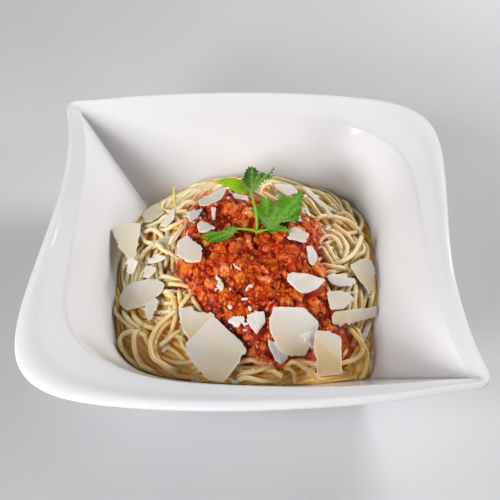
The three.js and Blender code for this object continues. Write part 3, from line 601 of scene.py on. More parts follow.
def border_edges(triangles, count):
    """The edges round an open sheet, whose points are numbered up to a count."""
    edges = np.vstack([triangles[:, [0, 1]], triangles[:, [1, 2]], triangles[:, [2, 0]]])
    keys = edges[:, 0] * count + edges[:, 1]
    mirrored = edges[:, 1] * count + edges[:, 0]
    return edges[~np.isin(keys, mirrored)]


def closed_below(points, triangles, tip):
    """Closes an open sheet with a cone from its border to a point under it."""
    border = border_edges(triangles, len(points))
    tips = np.full(len(border), len(points))
    cone = np.stack([border[:, 1], border[:, 0], tips], axis=1)
    return np.vstack([points, tip]), np.vstack([triangles, cone])


def slab(plan, triangles, top, bottom):
    """A closed thin body between two heights over the same flat mesh."""
    count = len(plan)
    start, end = border_edges(triangles, count).T
    sides = np.stack([start, start + count, end + count, end], axis=1)
    points = np.vstack([np.column_stack([plan, top]), np.column_stack([plan, bottom])])
    return points, np.vstack([triangles, triangles[:, ::-1] + count, split_quads(sides)])


def flat_mesh(line, spacing, seed):
    """Points and triangles that fill an outline in plan; the outline's points come first."""
    rng = np.random.default_rng(seed)
    low, high = line.min(0), line.max(0)
    x, y = np.meshgrid(np.arange(low[0], high[0], spacing), np.arange(low[1], high[1], spacing))
    inner = np.stack([x.ravel(), y.ravel()], axis=1) + rng.uniform(-0.25, 0.25, (x.size, 2)) * spacing
    inner = inner[depth_inside(inner, line) > 0.45 * spacing]
    points = np.vstack([line, inner])
    border = [list(range(len(line)))]
    made = delaunay_2d_cdt([tuple(p) for p in points], [], border, 1, 1e-6)
    places = np.array([tuple(p) for p in made[0]])
    triangles = np.array([face for face in made[2] if len(face) == 3])
    a, b, c = (places[triangles[:, k]] for k in range(3))
    area = (b[:, 0] - a[:, 0]) * (c[:, 1] - a[:, 1]) - (c[:, 0] - a[:, 0]) * (b[:, 1] - a[:, 1])
    triangles[area < 0] = triangles[area < 0][:, ::-1]
    return places, triangles


# Materials
def srgb(red, green, blue):
    """A colour from its usual numbers up to 255."""
    return tuple(
        part / 12.92 if part <= 0.04045 else ((part + 0.055) / 1.055) ** 2.4
        for part in (red / 255, green / 255, blue / 255)
    ) + (1.0,)


class Look:
    """A material while its shader is laid out. Values are numbers, colours or outputs of other nodes."""

    def __init__(self, name, roughness, **sockets):
        self.material = bpy.data.materials.new(name)
        self.material.use_nodes = True
        self.tree = self.material.node_tree
        self.shader = self.tree.nodes["Principled BSDF"]
        self.shader.inputs["Roughness"].default_value = roughness
        for key, value in sockets.items():
            self.shader.inputs[key.replace("_", " ")].default_value = value

    def put(self, value, socket):
        if isinstance(value, bpy.types.NodeSocket):
            self.tree.links.new(value, socket)
        else:
            socket.default_value = value

    def node(self, kind, output, inputs=None, **settings):
        """An output of a new node."""
        made = self.tree.nodes.new("ShaderNode" + kind)
        for key, value in settings.items():
            setattr(made, key, value)
        for key, value in (inputs or {}).items():
            self.put(value, made.inputs[key])
        return made.outputs[output]

    def attribute(self, name):
        return self.node("Attribute", "Fac", attribute_name=name)

    def grain(self, scale, detail=3.0, roughness=0.55):
        """Noise over the object's own coordinates; scale is in bumps per metre."""
        place = self.node("TexCoord", "Object")
        inputs = {"Vector": place, "Scale": scale, "Detail": detail, "Roughness": roughness}
        return self.node("TexNoise", "Fac", inputs)

    def maths(self, operation, *values):
        return self.node("Math", 0, dict(enumerate(values)), operation=operation)

    def scaled(self, value, factor):
        return self.maths("MULTIPLY", value, factor)

    def varied(self, value, speckle, amount):
        """A value with some of a noise between 0 and 1 on top of it."""
        return self.maths("ADD", value, self.scaled(self.maths("SUBTRACT", speckle, 0.5), amount))

    def mixed(self, factor, first, second):
        return self.node("Mix", 2, {0: factor, 6: first, 7: second}, data_type="RGBA")

    def ramp(self, factor, *stops):
        """A colour by a factor. A stop is a place with a colour up to 255, or with a grey up to 1."""
        made = self.tree.nodes.new("ShaderNodeValToRGB")
        self.put(factor, made.inputs["Fac"])
        elements = made.color_ramp.elements
        while len(elements) < len(stops):
            elements.new(0.5)
        for element, (place, *colour) in zip(elements, stops):
            element.position = place
            element.color = srgb(*colour) if len(colour) == 3 else (*colour * 3, 1)
        return made.outputs["Color"]

    def finished(self, colour, height=None, depth=0.0):
        """The material with its colour, and with a relief whose full depth is in metres."""
        self.put(colour, self.shader.inputs["Base Color"])
        if height is not None:
            relief = self.node("Bump", "Normal", {"Height": height, "Distance": depth, "Strength": 1.0})
            self.put(relief, self.shader.inputs["Normal"])
        return self.material


def porcelain_material():
    look = Look("porcelain", 0.14, IOR=1.36, Coat_Weight=0.15, Coat_Roughness=0.04)
    tint = look.ramp(look.grain(14, 2), (0.3, 223, 222, 225), (0.7, 226, 225, 227))
    return look.finished(tint, look.grain(60, 2), 0.00005)


def pasta_material():
    look = Look(
        "cooked_pasta", 0.42, Specular_IOR_Level=0.5,
        Subsurface_Weight=0.7, Subsurface_Scale=0.0025, Subsurface_Radius=(1.0, 0.85, 0.6),
    )
    plain = look.ramp(
        look.varied(look.attribute("tone"), look.grain(160), 0.9),
        (0.0, 200, 184, 120), (0.16, 250, 214, 142), (0.55, 247, 222, 170), (1.0, 246, 229, 190),
    )
    # The depth attribute mixes in a deep orange: painted shade among the strands and in the core's troughs
    with_painted_shade = look.mixed(look.attribute("depth"), plain, srgb(252, 182, 66))
    red = look.ramp(look.grain(240), (0.3, 216, 120, 66), (0.7, 232, 158, 98))
    stained = look.mixed(look.attribute("stain"), with_painted_shade, red)
    return look.finished(stained, look.grain(900, 4), 0.00012)


def sauce_material():
    look = Look(
        "meat_sauce", 0.32, Specular_IOR_Level=0.45, Coat_Weight=0.6, Coat_Roughness=0.14,
        Subsurface_Weight=0.2, Subsurface_Scale=0.001, Subsurface_Radius=(1.0, 0.35, 0.1),
    )
    tone = look.varied(look.attribute("tone"), look.grain(1300, 4, 0.65), 0.6)
    meat = look.ramp(
        tone, (0.0, 96, 9, 0), (0.2, 142, 24, 2), (0.42, 188, 58, 9),
        (0.6, 216, 90, 26), (0.78, 232, 126, 62), (1.0, 238, 170, 122),
    )
    oiled = look.ramp(
        tone, (0.0, 116, 20, 0), (0.25, 180, 60, 2), (0.5, 216, 98, 8),
        (0.75, 232, 136, 26), (1.0, 240, 166, 60),
    )
    colour = look.mixed(look.scaled(look.attribute("oil"), 0.85), meat, oiled)
    return look.finished(colour, look.grain(1500, 4), 0.0003)


def cheese_material():
    look = Look(
        "hard_cheese", 0.4, Specular_IOR_Level=0.5,
        Subsurface_Weight=0.3, Subsurface_Scale=0.0015, Subsurface_Radius=(1.0, 0.9, 0.75),
    )
    stripe = look.maths("MULTIPLY_ADD", look.maths("SINE", look.attribute("across")), 0.5, 0.5)
    colour = look.ramp(
        look.attribute("tone"), (0.0, 190, 160, 112), (0.3, 208, 185, 142), (0.55, 208, 197, 176),
        (0.8, 209, 203, 195), (1.0, 224, 219, 213),
    )
    clouds = look.ramp(look.grain(260, 3), (0.45, 0.0), (0.75, 0.18))
    for amount, tint in (
        # the cream tint warms some pieces and also brightens those the lamps leave dim: partly painted light
        (look.attribute("cream_and_painted_light"), srgb(250, 240, 212)),
        (look.scaled(stripe, 0.17), srgb(236, 230, 220)),
        (clouds, srgb(214, 190, 146)),
        (look.scaled(look.attribute("edge"), 0.75), srgb(246, 243, 238)),
    ):
        colour = look.mixed(amount, colour, tint)
    return look.finished(colour, look.maths("MULTIPLY_ADD", stripe, 0.2, look.grain(1500, 3)), 0.0001)


def leaf_material():
    look = Look(
        "parsley_leaf", 0.42, Specular_IOR_Level=0.5,
        Subsurface_Weight=0.2, Subsurface_Scale=0.0008, Subsurface_Radius=(0.4, 1.0, 0.15),
    )
    blade = look.ramp(
        look.varied(look.attribute("tone"), look.grain(500), 0.3),
        (0.0, 48, 80, 34), (0.25, 50, 98, 18), (0.5, 64, 130, 6), (0.75, 100, 158, 10), (1.0, 158, 198, 10),
    )
    veined = look.mixed(look.scaled(look.attribute("vein"), 0.6), blade, srgb(150, 188, 88))
    return look.finished(veined, look.grain(1400, 3), 0.00012)


def floor_material():
    look = Look("pale_floor", 0.8)
    return look.finished(look.ramp(look.grain(6, 4), (0.3, 196, 196, 199), (0.7, 202, 202, 204)))


# Plate
def half_turn_outline(half):
    half = np.asarray(half, float)
    return closed_spline(np.vstack([half, -half]), STATIONS_PER_SPAN)


LEVEL_OUTLINES = np.array([
    half_turn_outline(half)
    for half in (RIM_OUTLINE, OPENING_OUTLINE, FLOOR_OUTLINE, np.zeros_like(FLOOR_OUTLINE))
])
STATIONS = np.arange(LEVEL_OUTLINES.shape[1])


def plan_at(level):
    """The plate's plan at one level, or at a level of its own for each station."""
    below = np.minimum(np.asarray(level).astype(int), len(LEVEL_OUTLINES) - 2)
    part = np.broadcast_to(level - below, len(STATIONS))[:, None]
    return LEVEL_OUTLINES[below, STATIONS] * (1 - part) + LEVEL_OUTLINES[below + 1, STATIONS] * part


def ring_at(level, height):
    return np.column_stack([plan_at(level), np.broadcast_to(height, len(STATIONS))])


def wall_height(level):
    levels, heights = np.array(BODY_PROFILE[LIP_START:]).T
    return np.interp(level, levels, heights)


def make_plate(material):
    scale = (LEVEL_SCALE, 1)
    body = through_points(np.array(BODY_PROFILE) * scale, PROFILE_STEP) / scale
    points, triangles = loft([ring_at(level, max(z, 0.0)) for level, z in [*FOOT_PROFILE, *body]])
    new_piece("porcelain_plate", points, triangles, material, ["plate"], sharp=50)


# Heap of spaghetti
def heap_height(x, y):
    """Top of the bare dome."""
    across = np.abs(x / HEAP_HALF[0]) ** HEAP_SQUARENESS
    along = np.abs((y - HEAP_MIDDLE_Y) / HEAP_HALF[1]) ** HEAP_SQUARENESS
    reach = (across + along) ** (1 / HEAP_SQUARENESS)
    height = HEAP_TOP - HEAP_FALL * reach ** HEAP_ROUNDNESS
    height = height - CORNER_DROP * smoothstep(np.abs(CORNER_AXIS[0] * x + CORNER_AXIS[1] * y), *CORNER_REACH)
    for size, length_x, start_x, length_y, start_y in HEAP_WAVES:
        height = height + size * np.sin(x / length_x + start_x) * np.sin(y / length_y + start_y)
    return height


def contact_line(lowered):
    """Where the dome, lowered by a given amount, meets the plate's wall: levels and points in plan."""
    dry = np.ones(len(STATIONS))
    covered = np.full(len(STATIONS), 2.3)
    for _ in range(30):
        middle = (dry + covered) / 2
        plan = plan_at(middle)
        over = heap_height(*plan.T) - lowered > wall_height(middle)
        covered = np.where(over, middle, covered)
        dry = np.where(over, dry, middle)
    return covered, plan


def core_depth(x, y, rise):
    """How far the core lies under the dome: less beside the wall, where rise is 0, and at the front."""
    front = smoothstep(-y - 0.35 * x, *CORE_FRONT)
    depth = CORE_DEPTH + (CORE_GUIDE_DEPTH - CORE_DEPTH) * front
    return CORE_EDGE_DEPTH + (depth - CORE_EDGE_DEPTH) * rise


class Heap:
    """The heap while strands are laid on it: its surface so far, its edge and what must stay free."""

    def __init__(self, rng):
        self.rng = rng
        self.dome = heap_height(MAP_X, MAP_Y)
        _, edge = contact_line(-0.5)
        self.room = depth_map(edge[::3])
        slope_y, slope_x = np.gradient(self.room, CELL)
        steep = np.hypot(slope_x, slope_y) + 1e-9
        self.inward = np.stack([slope_x / steep, slope_y / steep], axis=-1)
        wall = height_map(node_triangles("plate"))
        core = self.dome - core_depth(MAP_X, MAP_Y, smoothstep(self.room, 0, CORE_EDGE_REACH))
        self.surface = np.maximum.reduce([self.dome - CORE_DEPTH, np.where(np.isfinite(wall), wall, 0), core])
        self.shavings = undersides("cheese")
        self.cover = undersides(("cheese", "bolognese"))
        self.shown = 1 - smoothstep(depth_map(closed_spline(SAUCE_OUTLINE, 6)), 5, 9)
        self.offsets, self.lifts = disc_offsets(STRAND_RADIUS)

    def set_level(self, level):
        """How high strands laid at random fill the heap: a level over the dome, but under the toppings."""
        self.target = np.minimum(self.dome + level, self.cover - 0.3)

    def under(self, paths):
        """The cells of the map under strands along paths in plan."""
        return cells_of(paths[..., None, :] + self.offsets)

    def support(self, paths):
        """The lowest heights at which strands can lie over their paths."""
        return (self.surface[self.under(paths)] + self.lifts).max(-1)

    def ceiling(self, paths):
        """How high strands may lie under toppings."""
        return self.cover[self.under(paths)].min(-1) - STRAND_RADIUS - 0.1

    def settled(self, paths):
        """Heights along paths, with the strands resting on what is under them."""
        low = self.support(paths)
        z = low.copy()
        for _ in range(SETTLE_ROUNDS):
            middle = (z[..., :-2] + z[..., 2:]) / 2 - SAG
            z[..., 1:-1] = np.maximum(low[..., 1:-1], middle)
            z[..., 0] = np.maximum(low[..., 0], z[..., 1] - END_SAG)
            z[..., -1] = np.maximum(low[..., -1], z[..., -2] - END_SAG)
        return z

    def stamp(self, path):
        """Adds a strand to the surface."""
        fine = respaced(path, CELL)
        np.maximum.at(self.surface, self.under(fine[:, :2]), fine[:, 2:] + self.lifts)

    def kept_inside(self, places):
        """Places moved off the wall."""
        cells = cells_of(places)
        lack = np.clip(WALL_ROOM - self.room[cells], 0, None)
        return places + self.inward[cells] * lack[..., None]

    def wander(self, count):
        """Random curved paths over the heap from places that lack strands, that follow the wall near it."""
        rng = self.rng
        lack = np.clip(self.target - self.surface, 0, 4) ** 2 * (self.room > 2.5) * self.shown
        chosen = rng.choice(lack.size, count, p=lack.ravel() / lack.sum())
        start = np.stack([MAP_X.ravel()[chosen], MAP_Y.ravel()[chosen]], axis=1)
        round_middle = np.arctan2(start[:, 1] - HEAP_MIDDLE_Y, start[:, 0]) + math.pi / 2
        heading = round_middle + rng.normal(0, HEADING_SPREAD, count)
        halves = []
        for turn in (0, math.pi):
            place, angle = start.copy(), heading + turn
            bend = rng.normal(0, FIRST_BEND, count)
            half = [place]
            for _ in range(STRAND_HALF_STEPS):
                bend = BEND_KEPT * bend + rng.normal(0, BEND_CHANGE, count)
                cells = cells_of(place)
                room, inward = self.room[cells], self.inward[cells]
                ahead = np.stack([np.cos(angle), np.sin(angle)], axis=1)
                inwards = (ahead * inward).sum(1)
                leftward = ahead[:, 0] * inward[:, 1] - ahead[:, 1] * inward[:, 0]
                push = np.clip((WALL_REACH - room) / WALL_REACH, 0, 1) ** 2 * np.clip(0.25 - inwards, 0, 1)
                turned = STRAND_STEP * (bend + 0.3 * push * np.sign(leftward))
                angle = angle + np.clip(turned, -SHARPEST_TURN, SHARPEST_TURN)
                ahead = np.stack([np.cos(angle), np.sin(angle)], axis=1)
                place = self.kept_inside(place + STRAND_STEP * ahead)
                half.append(place)
            halves.append(half)
        return np.stack([*halves[0][::-1], *halves[1][1:]], axis=1)

    def beside(self, paths, count):
        """Paths that run beside strands that were laid before, as in a bundle."""
        rng = self.rng
        made = []
        for _ in range(count):
            path = paths[rng.integers(max(0, len(paths) - 12), len(paths))]
            side = np.gradient(path, axis=0)[:, ::-1] * (1, -1)
            side /= np.linalg.norm(side, axis=1)[:, None] + 1e-9
            place = np.arange(len(path))[:, None] * STRAND_STEP + rng.uniform(0, 1000)
            drift = 5 * noise(np.hstack([place, place * 0]), 45, int(rng.integers(1e6)))
            shift = rng.choice([-1, 1]) * BUNDLE_GAP + drift
            made.append(self.kept_inside(path + side * shift[:, None]))
        return np.stack(made)

    def best_stretch(self, paths, z):
        """The path that fills most of what shows without rising over its level, and which stretch of it."""
        cells = cells_of(paths)
        gap = self.target[cells] - z - STRAND_RADIUS
        worth = self.shown[cells] * (np.clip(gap, -2, 3.5) - 3 * np.clip(-gap - 0.6, 0, None)) - STEP_COST
        total, start = np.zeros(len(paths)), np.zeros(len(paths), int)
        best = (-np.inf, 0, 0, 0)
        for step in range(worth.shape[1]):
            fresh = total <= 0
            start = np.where(fresh, step, start)
            total = np.where(fresh, 0, total) + worth[:, step]
            leader = int(np.argmax(np.where(step - start >= LEAST_STEPS, total, -np.inf)))
            if step - start[leader] >= LEAST_STEPS and total[leader] > best[0]:
                best = (total[leader], leader, start[leader], step + 1)
        return best


def disc_offsets(radius):
    """Places of the map's points inside a circle, and how high a ball's surface lies over them."""
    reach = np.arange(-int(radius / CELL), int(radius / CELL) + 1) * CELL
    x, y = np.meshgrid(reach, reach)
    inside = np.hypot(x, y) < radius
    offsets = np.stack([x[inside], y[inside]], axis=1)
    return offsets, 0.93 * np.sqrt(radius ** 2 - (offsets ** 2).sum(1))


def sunk_end(path, length):
    """A strand whose last stretch dives into the heap."""
    path = path.copy()
    left = np.linalg.norm(path[:, :2] - path[-1, :2], axis=1)
    near = np.arange(len(path)) > len(path) - 2 - length / STRAND_STEP
    path[:, 2] -= END_DEPTH * np.where(near, smoothstep(1 - left / length), 0)
    return path


def laid_strands(heap):
    """All strands as paths in three dimensions: those laid at random, then those laid along given points."""
    guides = [through_points(points, STRAND_STEP) for _, points in GUIDES]
    beside = np.zeros_like(heap.dome)
    beside[cells_of(np.vstack(guides))] = 1
    near = smoothstep(blurred(beside, 7) * 60, 0.2, 1.0)
    heap.set_level(FILL_LEVEL + (GUIDE_LEVEL - FILL_LEVEL) * near)
    strands, lines = [], []
    for _ in range(STRAND_COUNT):
        paths = heap.wander(CANDIDATES)
        if len(lines) > 8:
            paths = np.concatenate([paths, heap.beside(lines, CANDIDATES)])
        settled = heap.settled(paths)
        worth, leader, first, last = heap.best_stretch(paths, settled)
        if worth < LEAST_WORTH:
            break
        z = np.minimum(settled, heap.ceiling(paths))
        path = np.column_stack([paths[leader], z[leader]])[first:last]
        path = sunk_end(sunk_end(path, END_LENGTH)[::-1], END_LENGTH)[::-1]
        heap.stamp(path)
        strands.append(path)
        lines.append(paths[leader])
    for (shown, _), plan in zip(GUIDES, guides):
        plan = heap.kept_inside(plan)
        path = np.column_stack([plan, np.minimum(heap.settled(plan), heap.ceiling(plan))])
        if shown != "last":
            path = sunk_end(path, GUIDE_END_LENGTH)
        if shown != "first":
            path = sunk_end(path[::-1], GUIDE_END_LENGTH)[::-1]
        heap.stamp(path)
        strands.append(path)
    strands.append(through_points(UPRIGHT_STRAND, STRAND_STEP))
    return strands


def shown_runs(path, lowest):
    """The stretches of a strand that can be seen between the strands over it."""
    seen = path[:, 2] + STRAND_RADIUS > lowest[cells_of(path)]
    spread = np.convolve(seen, np.ones(5), mode="same") > 0
    edges = np.flatnonzero(np.diff(np.r_[0, spread.astype(int), 0]))
    return [path[start:stop] for start, stop in zip(edges[::2], edges[1::2]) if stop - start > 2]


def make_core(material):
    """The hidden middle of the heap, under the strands."""
    edge, _ = contact_line(CORE_EDGE_DEPTH)
    rings = []
    for underside in CORE_UNDERSIDE:
        level = np.maximum(underside, edge + 0.02)
        rings.append(ring_at(level + CORE_GAP, wall_height(level) + 0.4))
    for part in (0.6, 0.3, 0):
        level = edge + (np.maximum(CORE_UNDERSIDE[-1], edge + 0.02) - edge) * part
        rings.append(ring_at(level + CORE_GAP, wall_height(level)))
    for part in np.linspace(0.01, 0.98, CORE_RINGS):
        plan = plan_at(edge + (2.995 - edge) * part + CORE_GAP)
        depth = core_depth(*plan.T, smoothstep(part, 0, 0.16))
        rings.append(np.column_stack([plan, heap_height(*plan.T) - depth]))
    points, triangles = loft(rings)
    x, y, z = points.T
    high = z > heap_height(x, y) - CORE_DEPTH - 0.2
    turns = np.hypot(x, y - HEAP_MIDDLE_Y) * math.pi / RIDGE_SPACING + 3.5 * noise(points[:, :2], 16, 5)
    ridges = np.abs(np.sin(turns)) ** 0.7
    points[high, 2] += RIDGE_RISE * ridges[high] - RIDGE_SINK
    values = {
        "tone": 0.3 + 0.3 * noise(points[:, :2], 5, 8),
        "stain": np.zeros(len(points)),
        # the core takes the deep orange, most in the troughs between its ridges: painted shade
        "depth": 1 - 0.65 * ridges,
    }
    new_piece("spaghetti_core", points, triangles, material, values=values)


def make_strands(heap, strands, material):
    rng = np.random.default_rng(SEED + 3)
    lowest = lowest_nearby(heap.surface, 3)
    parts, tones = [], []
    for path in strands:
        x, y = path[:, :2].mean(0)
        pale = max(smoothstep(y - x, 0, 60), 0.9 * smoothstep(y, -35, 10))
        tone = rng.uniform(0.15, 0.5) + 0.5 * pale
        width = STRAND_RADIUS
        if path is strands[-1]:
            tone, width = -0.1, UPRIGHT_RADIUS
        for run in shown_runs(path, lowest):
            radii = width * (1 + 0.05 * noise(run, 6, 3) + rng.uniform(-0.06, 0.02))
            parts.append(tube(run, radii, STRAND_SIDES))
            tones.append(tone)
    points, triangles, numbers = joined(parts)
    top = blurred(heap.surface, 4)[cells_of(points)]
    away = np.clip(-depth_inside(points[:, :2], closed_spline(SAUCE_OUTLINE, 6)), 0, None)
    stained = np.clip(noise(points, 9, 41) * 0.9 + 0.25, 0, 1) * smoothstep(1 - away / 9)
    values = {
        "tone": np.array(tones)[numbers],
        "stain": np.clip(stained, 0, 0.9),
        # strands that lie deeper under the blurred surface take the deep orange: painted shade between
        # strands
        "depth": 0.9 * smoothstep(top - points[:, 2], 0.2, 3.8),
    }
    new_piece("spaghetti_strands", points, triangles, material, ["spaghetti"], values, sharp=60)


# Meat sauce
def sauce_part(x, y):
    """How far out in the patch of sauce a place lies: 0 in its middle, 1 on its edge."""
    line = closed_spline(SAUCE_OUTLINE, 8) - SAUCE_MIDDLE
    angles, lengths = np.arctan2(line[:, 1], line[:, 0]), np.hypot(*line.T)
    order = np.argsort(angles)
    dx, dy = x - SAUCE_MIDDLE[0], y - SAUCE_MIDDLE[1]
    reach = np.interp(np.arctan2(dy, dx), angles[order], lengths[order], period=2 * math.pi)
    return np.hypot(dx, dy) / reach


def sauce_height(x, y, part):
    """The top of the patch without its fine relief."""
    lump = SAUCE_LUMP * (np.sin(x / 2.9) * np.sin(y / 3.3 + 1) + np.sin(x / 6 + y / 5))
    inner = np.clip(part, 0, 1)
    return heap_height(x, y) + SAUCE_EDGE + SAUCE_DEPTH * (1 - inner ** 5) + (1 - inner ** 8) * lump


class SauceRelief:
    """The patch of sauce as a relief over a fine grid, with a tone for each point."""

    def __init__(self):
        x = np.arange(SAUCE_BOX[0], SAUCE_BOX[2], SAUCE_CELL)
        y = np.arange(SAUCE_BOX[1], SAUCE_BOX[3], SAUCE_CELL)
        self.x, self.y = np.meshgrid(x, y)
        self.places = np.stack([self.x, self.y], axis=-1)
        self.bent_x = self.x + 0.9 * layered_noise(self.places, 3.4, 61, 2)
        self.bent_y = self.y + 0.9 * layered_noise(self.places, 3.4, 67, 2)
        self.part = sauce_part(self.x, self.y) + 0.05 * layered_noise(self.places, 8, 11)
        self.base = sauce_height(self.x, self.y, self.part)
        self.height = self.base - 1.6 + 0.7 * layered_noise(self.places, 9, 17, 2)
        self.tone = np.full(self.x.shape, -0.12)

    def cell(self, x, y):
        return int(round((y - SAUCE_BOX[1]) / SAUCE_CELL)), int(round((x - SAUCE_BOX[0]) / SAUCE_CELL))

    def add_lump(self, x, y, size, rise, tone, turn, stretch):
        """Raises one uneven lump out of the relief."""
        row, column = self.cell(x, y)
        reach = int(1.7 * size / SAUCE_CELL) + 2
        window = tuple(slice(max(k - reach, 0), k + reach + 1) for k in (row, column))
        dx = self.bent_x[window] - self.bent_x[row, column]
        dy = self.bent_y[window] - self.bent_y[row, column]
        along = (dx * math.cos(turn) + dy * math.sin(turn)) / size
        across = (dy * math.cos(turn) - dx * math.sin(turn)) / (size * stretch)
        dome = 1 - along ** 2 - across ** 2
        top = self.height[row, column] + size * (0.72 * np.sqrt(np.clip(dome, 0, None)) - 1 + rise)
        covers = (dome > 0) & (top > self.height[window])
        self.height[window] = np.where(covers, top, self.height[window])
        self.tone[window] = np.where(covers, 0.4 * self.tone[window] + tone, self.tone[window])

    def scatter(self, rng, count, median, spread, limits, rise, tones):
        """Adds lumps at random places, of sizes around a median."""
        for _ in range(count):
            x = rng.uniform(SAUCE_BOX[0] + 3, SAUCE_BOX[2] - 3)
            y = rng.uniform(SAUCE_BOX[1] + 3, SAUCE_BOX[3] - 3)
            size = float(np.clip(median * math.exp(rng.normal(0, spread)), *limits))
            tone, turn, stretch = rng.normal(*tones), rng.uniform(0, math.pi), rng.uniform(0.55, 1.0)
            if self.part[self.cell(x, y)] < 1.02:
                self.add_lump(x, y, size, rise + rng.uniform(-0.12, 0.12), tone, turn, stretch)


def sheet_over(grid_x, grid_y, height, kept):
    """Points and triangles of a sheet over the kept points of a grid, and which of them it uses."""
    rows, columns = np.nonzero(kept[:-1, :-1] & kept[1:, :-1] & kept[:-1, 1:] & kept[1:, 1:])
    corners = [(rows, columns), (rows, columns + 1), (rows + 1, columns + 1), (rows + 1, columns)]
    used = np.zeros(kept.shape, bool)
    for corner in corners:
        used[corner] = True
    number = np.full(kept.shape, -1)
    number[used] = np.arange(used.sum())
    quads = np.stack([number[corner] for corner in corners], axis=1)
    return np.column_stack([grid_x[used], grid_y[used], height[used]]), split_quads(quads), used


def make_sauce(heap, material):
    """The patch of sauce: clumps of mince, grains on them, and a film of sauce between."""
    rng = np.random.default_rng(SEED + 7)
    sauce = SauceRelief()
    places = sauce.places
    sauce.scatter(rng, *CLUMPS)
    sauce.scatter(rng, *SMALL_CLUMPS)
    for x, y, radius, depth in PITS:
        pit = np.exp(-((sauce.x - x) ** 2 + (sauce.y - y) ** 2) / radius ** 2)
        sauce.height -= depth * pit
        # the hollows are painted darker: painted shade
        sauce.tone -= 0.35 * pit
    sauce.height = np.maximum(sauce.height, blurred(sauce.height, FILM_WIDTH) - FILM_DEPTH)
    sauce.scatter(rng, *GRAINS)
    relief = sauce.height + 0.2 * layered_noise(places, 1.6, 71, 3)
    relief = np.minimum(relief, blurred(sauce.base, 4) + SAUCE_LIMIT)
    proud = relief - blurred(relief, 7)
    streaks = np.stack([0.5 * (sauce.x + sauce.y), sauce.x - sauce.y], axis=-1)
    oily = smoothstep(layered_noise(streaks, 9, 83, 3), 0.1, 0.45)
    # lumps that stand proud are lighter and what lies sunk among them is darker: painted shade
    tone = 0.43 + sauce.tone + 0.2 * np.clip(proud, -1.6, 1.2) + 0.14 * layered_noise(places, 9, 89, 3)
    edge = smoothstep(sauce.part, 0.95, 1.1)
    relief = relief * (1 - edge) + (heap_height(sauce.x, sauce.y) - 4.5) * edge
    cover = lowest_nearby(heap.shavings, 1)[cells_of(places)]
    relief = np.where(np.isfinite(cover), np.minimum(relief, cover - 0.05), relief)

    index = np.stack([(MAP_Y - SAUCE_BOX[1]) / SAUCE_CELL, (MAP_X - SAUCE_BOX[0]) / SAUCE_CELL])
    cells = tuple(np.clip(k, 0, n - 1) for k, n in zip(np.rint(index).astype(int), relief.shape))
    sauced = sauce_part(MAP_X, MAP_Y) < 1.0
    heap.surface = np.where(sauced, np.maximum(heap.surface, relief[cells]), heap.surface)

    points, triangles, used = sheet_over(sauce.x, sauce.y, relief, sauce.part < SAUCE_RIM)
    tip = (*SAUCE_MIDDLE, heap_height(*SAUCE_MIDDLE) - 14)
    points, triangles = closed_below(points, triangles, tip)
    values = {"tone": np.r_[tone[used], 0.0], "oil": np.r_[oily[used], 0.0]}
    new_piece("meat_sauce", points, triangles, material, ["bolognese_sauce"], values)


# Small rough lumps
def rough_ball(rounds):
    """Points and triangles of a round body with evenly split faces."""
    golden = (1 + math.sqrt(5)) / 2
    points = [
        (-1, golden, 0), (1, golden, 0), (-1, -golden, 0), (1, -golden, 0), (0, -1, golden), (0, 1, golden),
        (0, -1, -golden), (0, 1, -golden), (golden, 0, -1), (golden, 0, 1), (-golden, 0, -1), (-golden, 0, 1),
    ]
    faces = [
        (0, 11, 5), (0, 5, 1), (0, 1, 7), (0, 7, 10), (0, 10, 11), (1, 5, 9), (5, 11, 4), (11, 10, 2),
        (10, 7, 6), (7, 1, 8), (3, 9, 4), (3, 4, 2), (3, 2, 6), (3, 6, 8), (3, 8, 9), (4, 9, 5), (2, 4, 11),
        (6, 2, 10), (8, 6, 7), (9, 8, 1),
    ]
    points = [np.array(p) / np.linalg.norm(p) for p in points]
    for _ in range(rounds):
        middles = {}

        def middle(a, b):
            key = (min(a, b), max(a, b))
            if key not in middles:
                point = points[a] + points[b]
                middles[key] = len(points)
                points.append(point / np.linalg.norm(point))
            return middles[key]

        split = []
        for a, b, c in faces:
            ab, ca, bc = middle(a, b), middle(c, a), middle(b, c)
            split += [(a, ab, ca), (ab, b, bc), (ca, bc, c), (ab, bc, ca)]
        faces = split
    return np.array(points), np.array(faces)


def lumps(places, sizes, flatness, roughness, seed):
    """Rough lumps of given sizes, turned at random, as one mesh."""
    rng = np.random.default_rng(seed)
    ball, faces = rough_ball(1)
    parts = []
    for index, (place, size) in enumerate(zip(places, sizes)):
        shape = rng.uniform(0.6, 1.0, 3) * (1, 1, flatness)
        turn = rng.uniform(0, 2 * math.pi)
        body = ball * (1 + roughness * noise(ball + index * 3.7, 0.9, seed))[:, None] * shape * size
        ahead, aside = math.cos(turn), math.sin(turn)
        spun = body @ np.array([[ahead, -aside, 0], [aside, ahead, 0], [0, 0, 1]])
        parts.append((spun + place, faces))
    return joined(parts)


def make_mince_crumbs(heap, material):
    """Loose crumbs of mince on the sauce."""
    rng = np.random.default_rng(SEED + 9)
    places, sizes = [], []
    while len(places) < CRUMB_COUNT:
        x, y = rng.uniform(CRUMB_BOX[0], CRUMB_BOX[2]), rng.uniform(CRUMB_BOX[1], CRUMB_BOX[3])
        cell = cells_of((x, y))
        if sauce_part(x, y) < 0.97 and not np.isfinite(heap.shavings[cell]):
            size = min(0.75 * math.exp(rng.normal(0, 0.35)), 1.7)
            places.append((x, y, heap.surface[cell] + 0.15 * size))
            sizes.append(size)
    points, triangles, numbers = lumps(places, sizes, 0.8, 0.45, SEED + 10)
    values = {
        "tone": rng.uniform(0.3, 0.85, len(places))[numbers],
        "oil": rng.uniform(0, 0.6, len(places))[numbers],
    }
    new_piece("mince_crumbs", points, triangles, material, values=values)


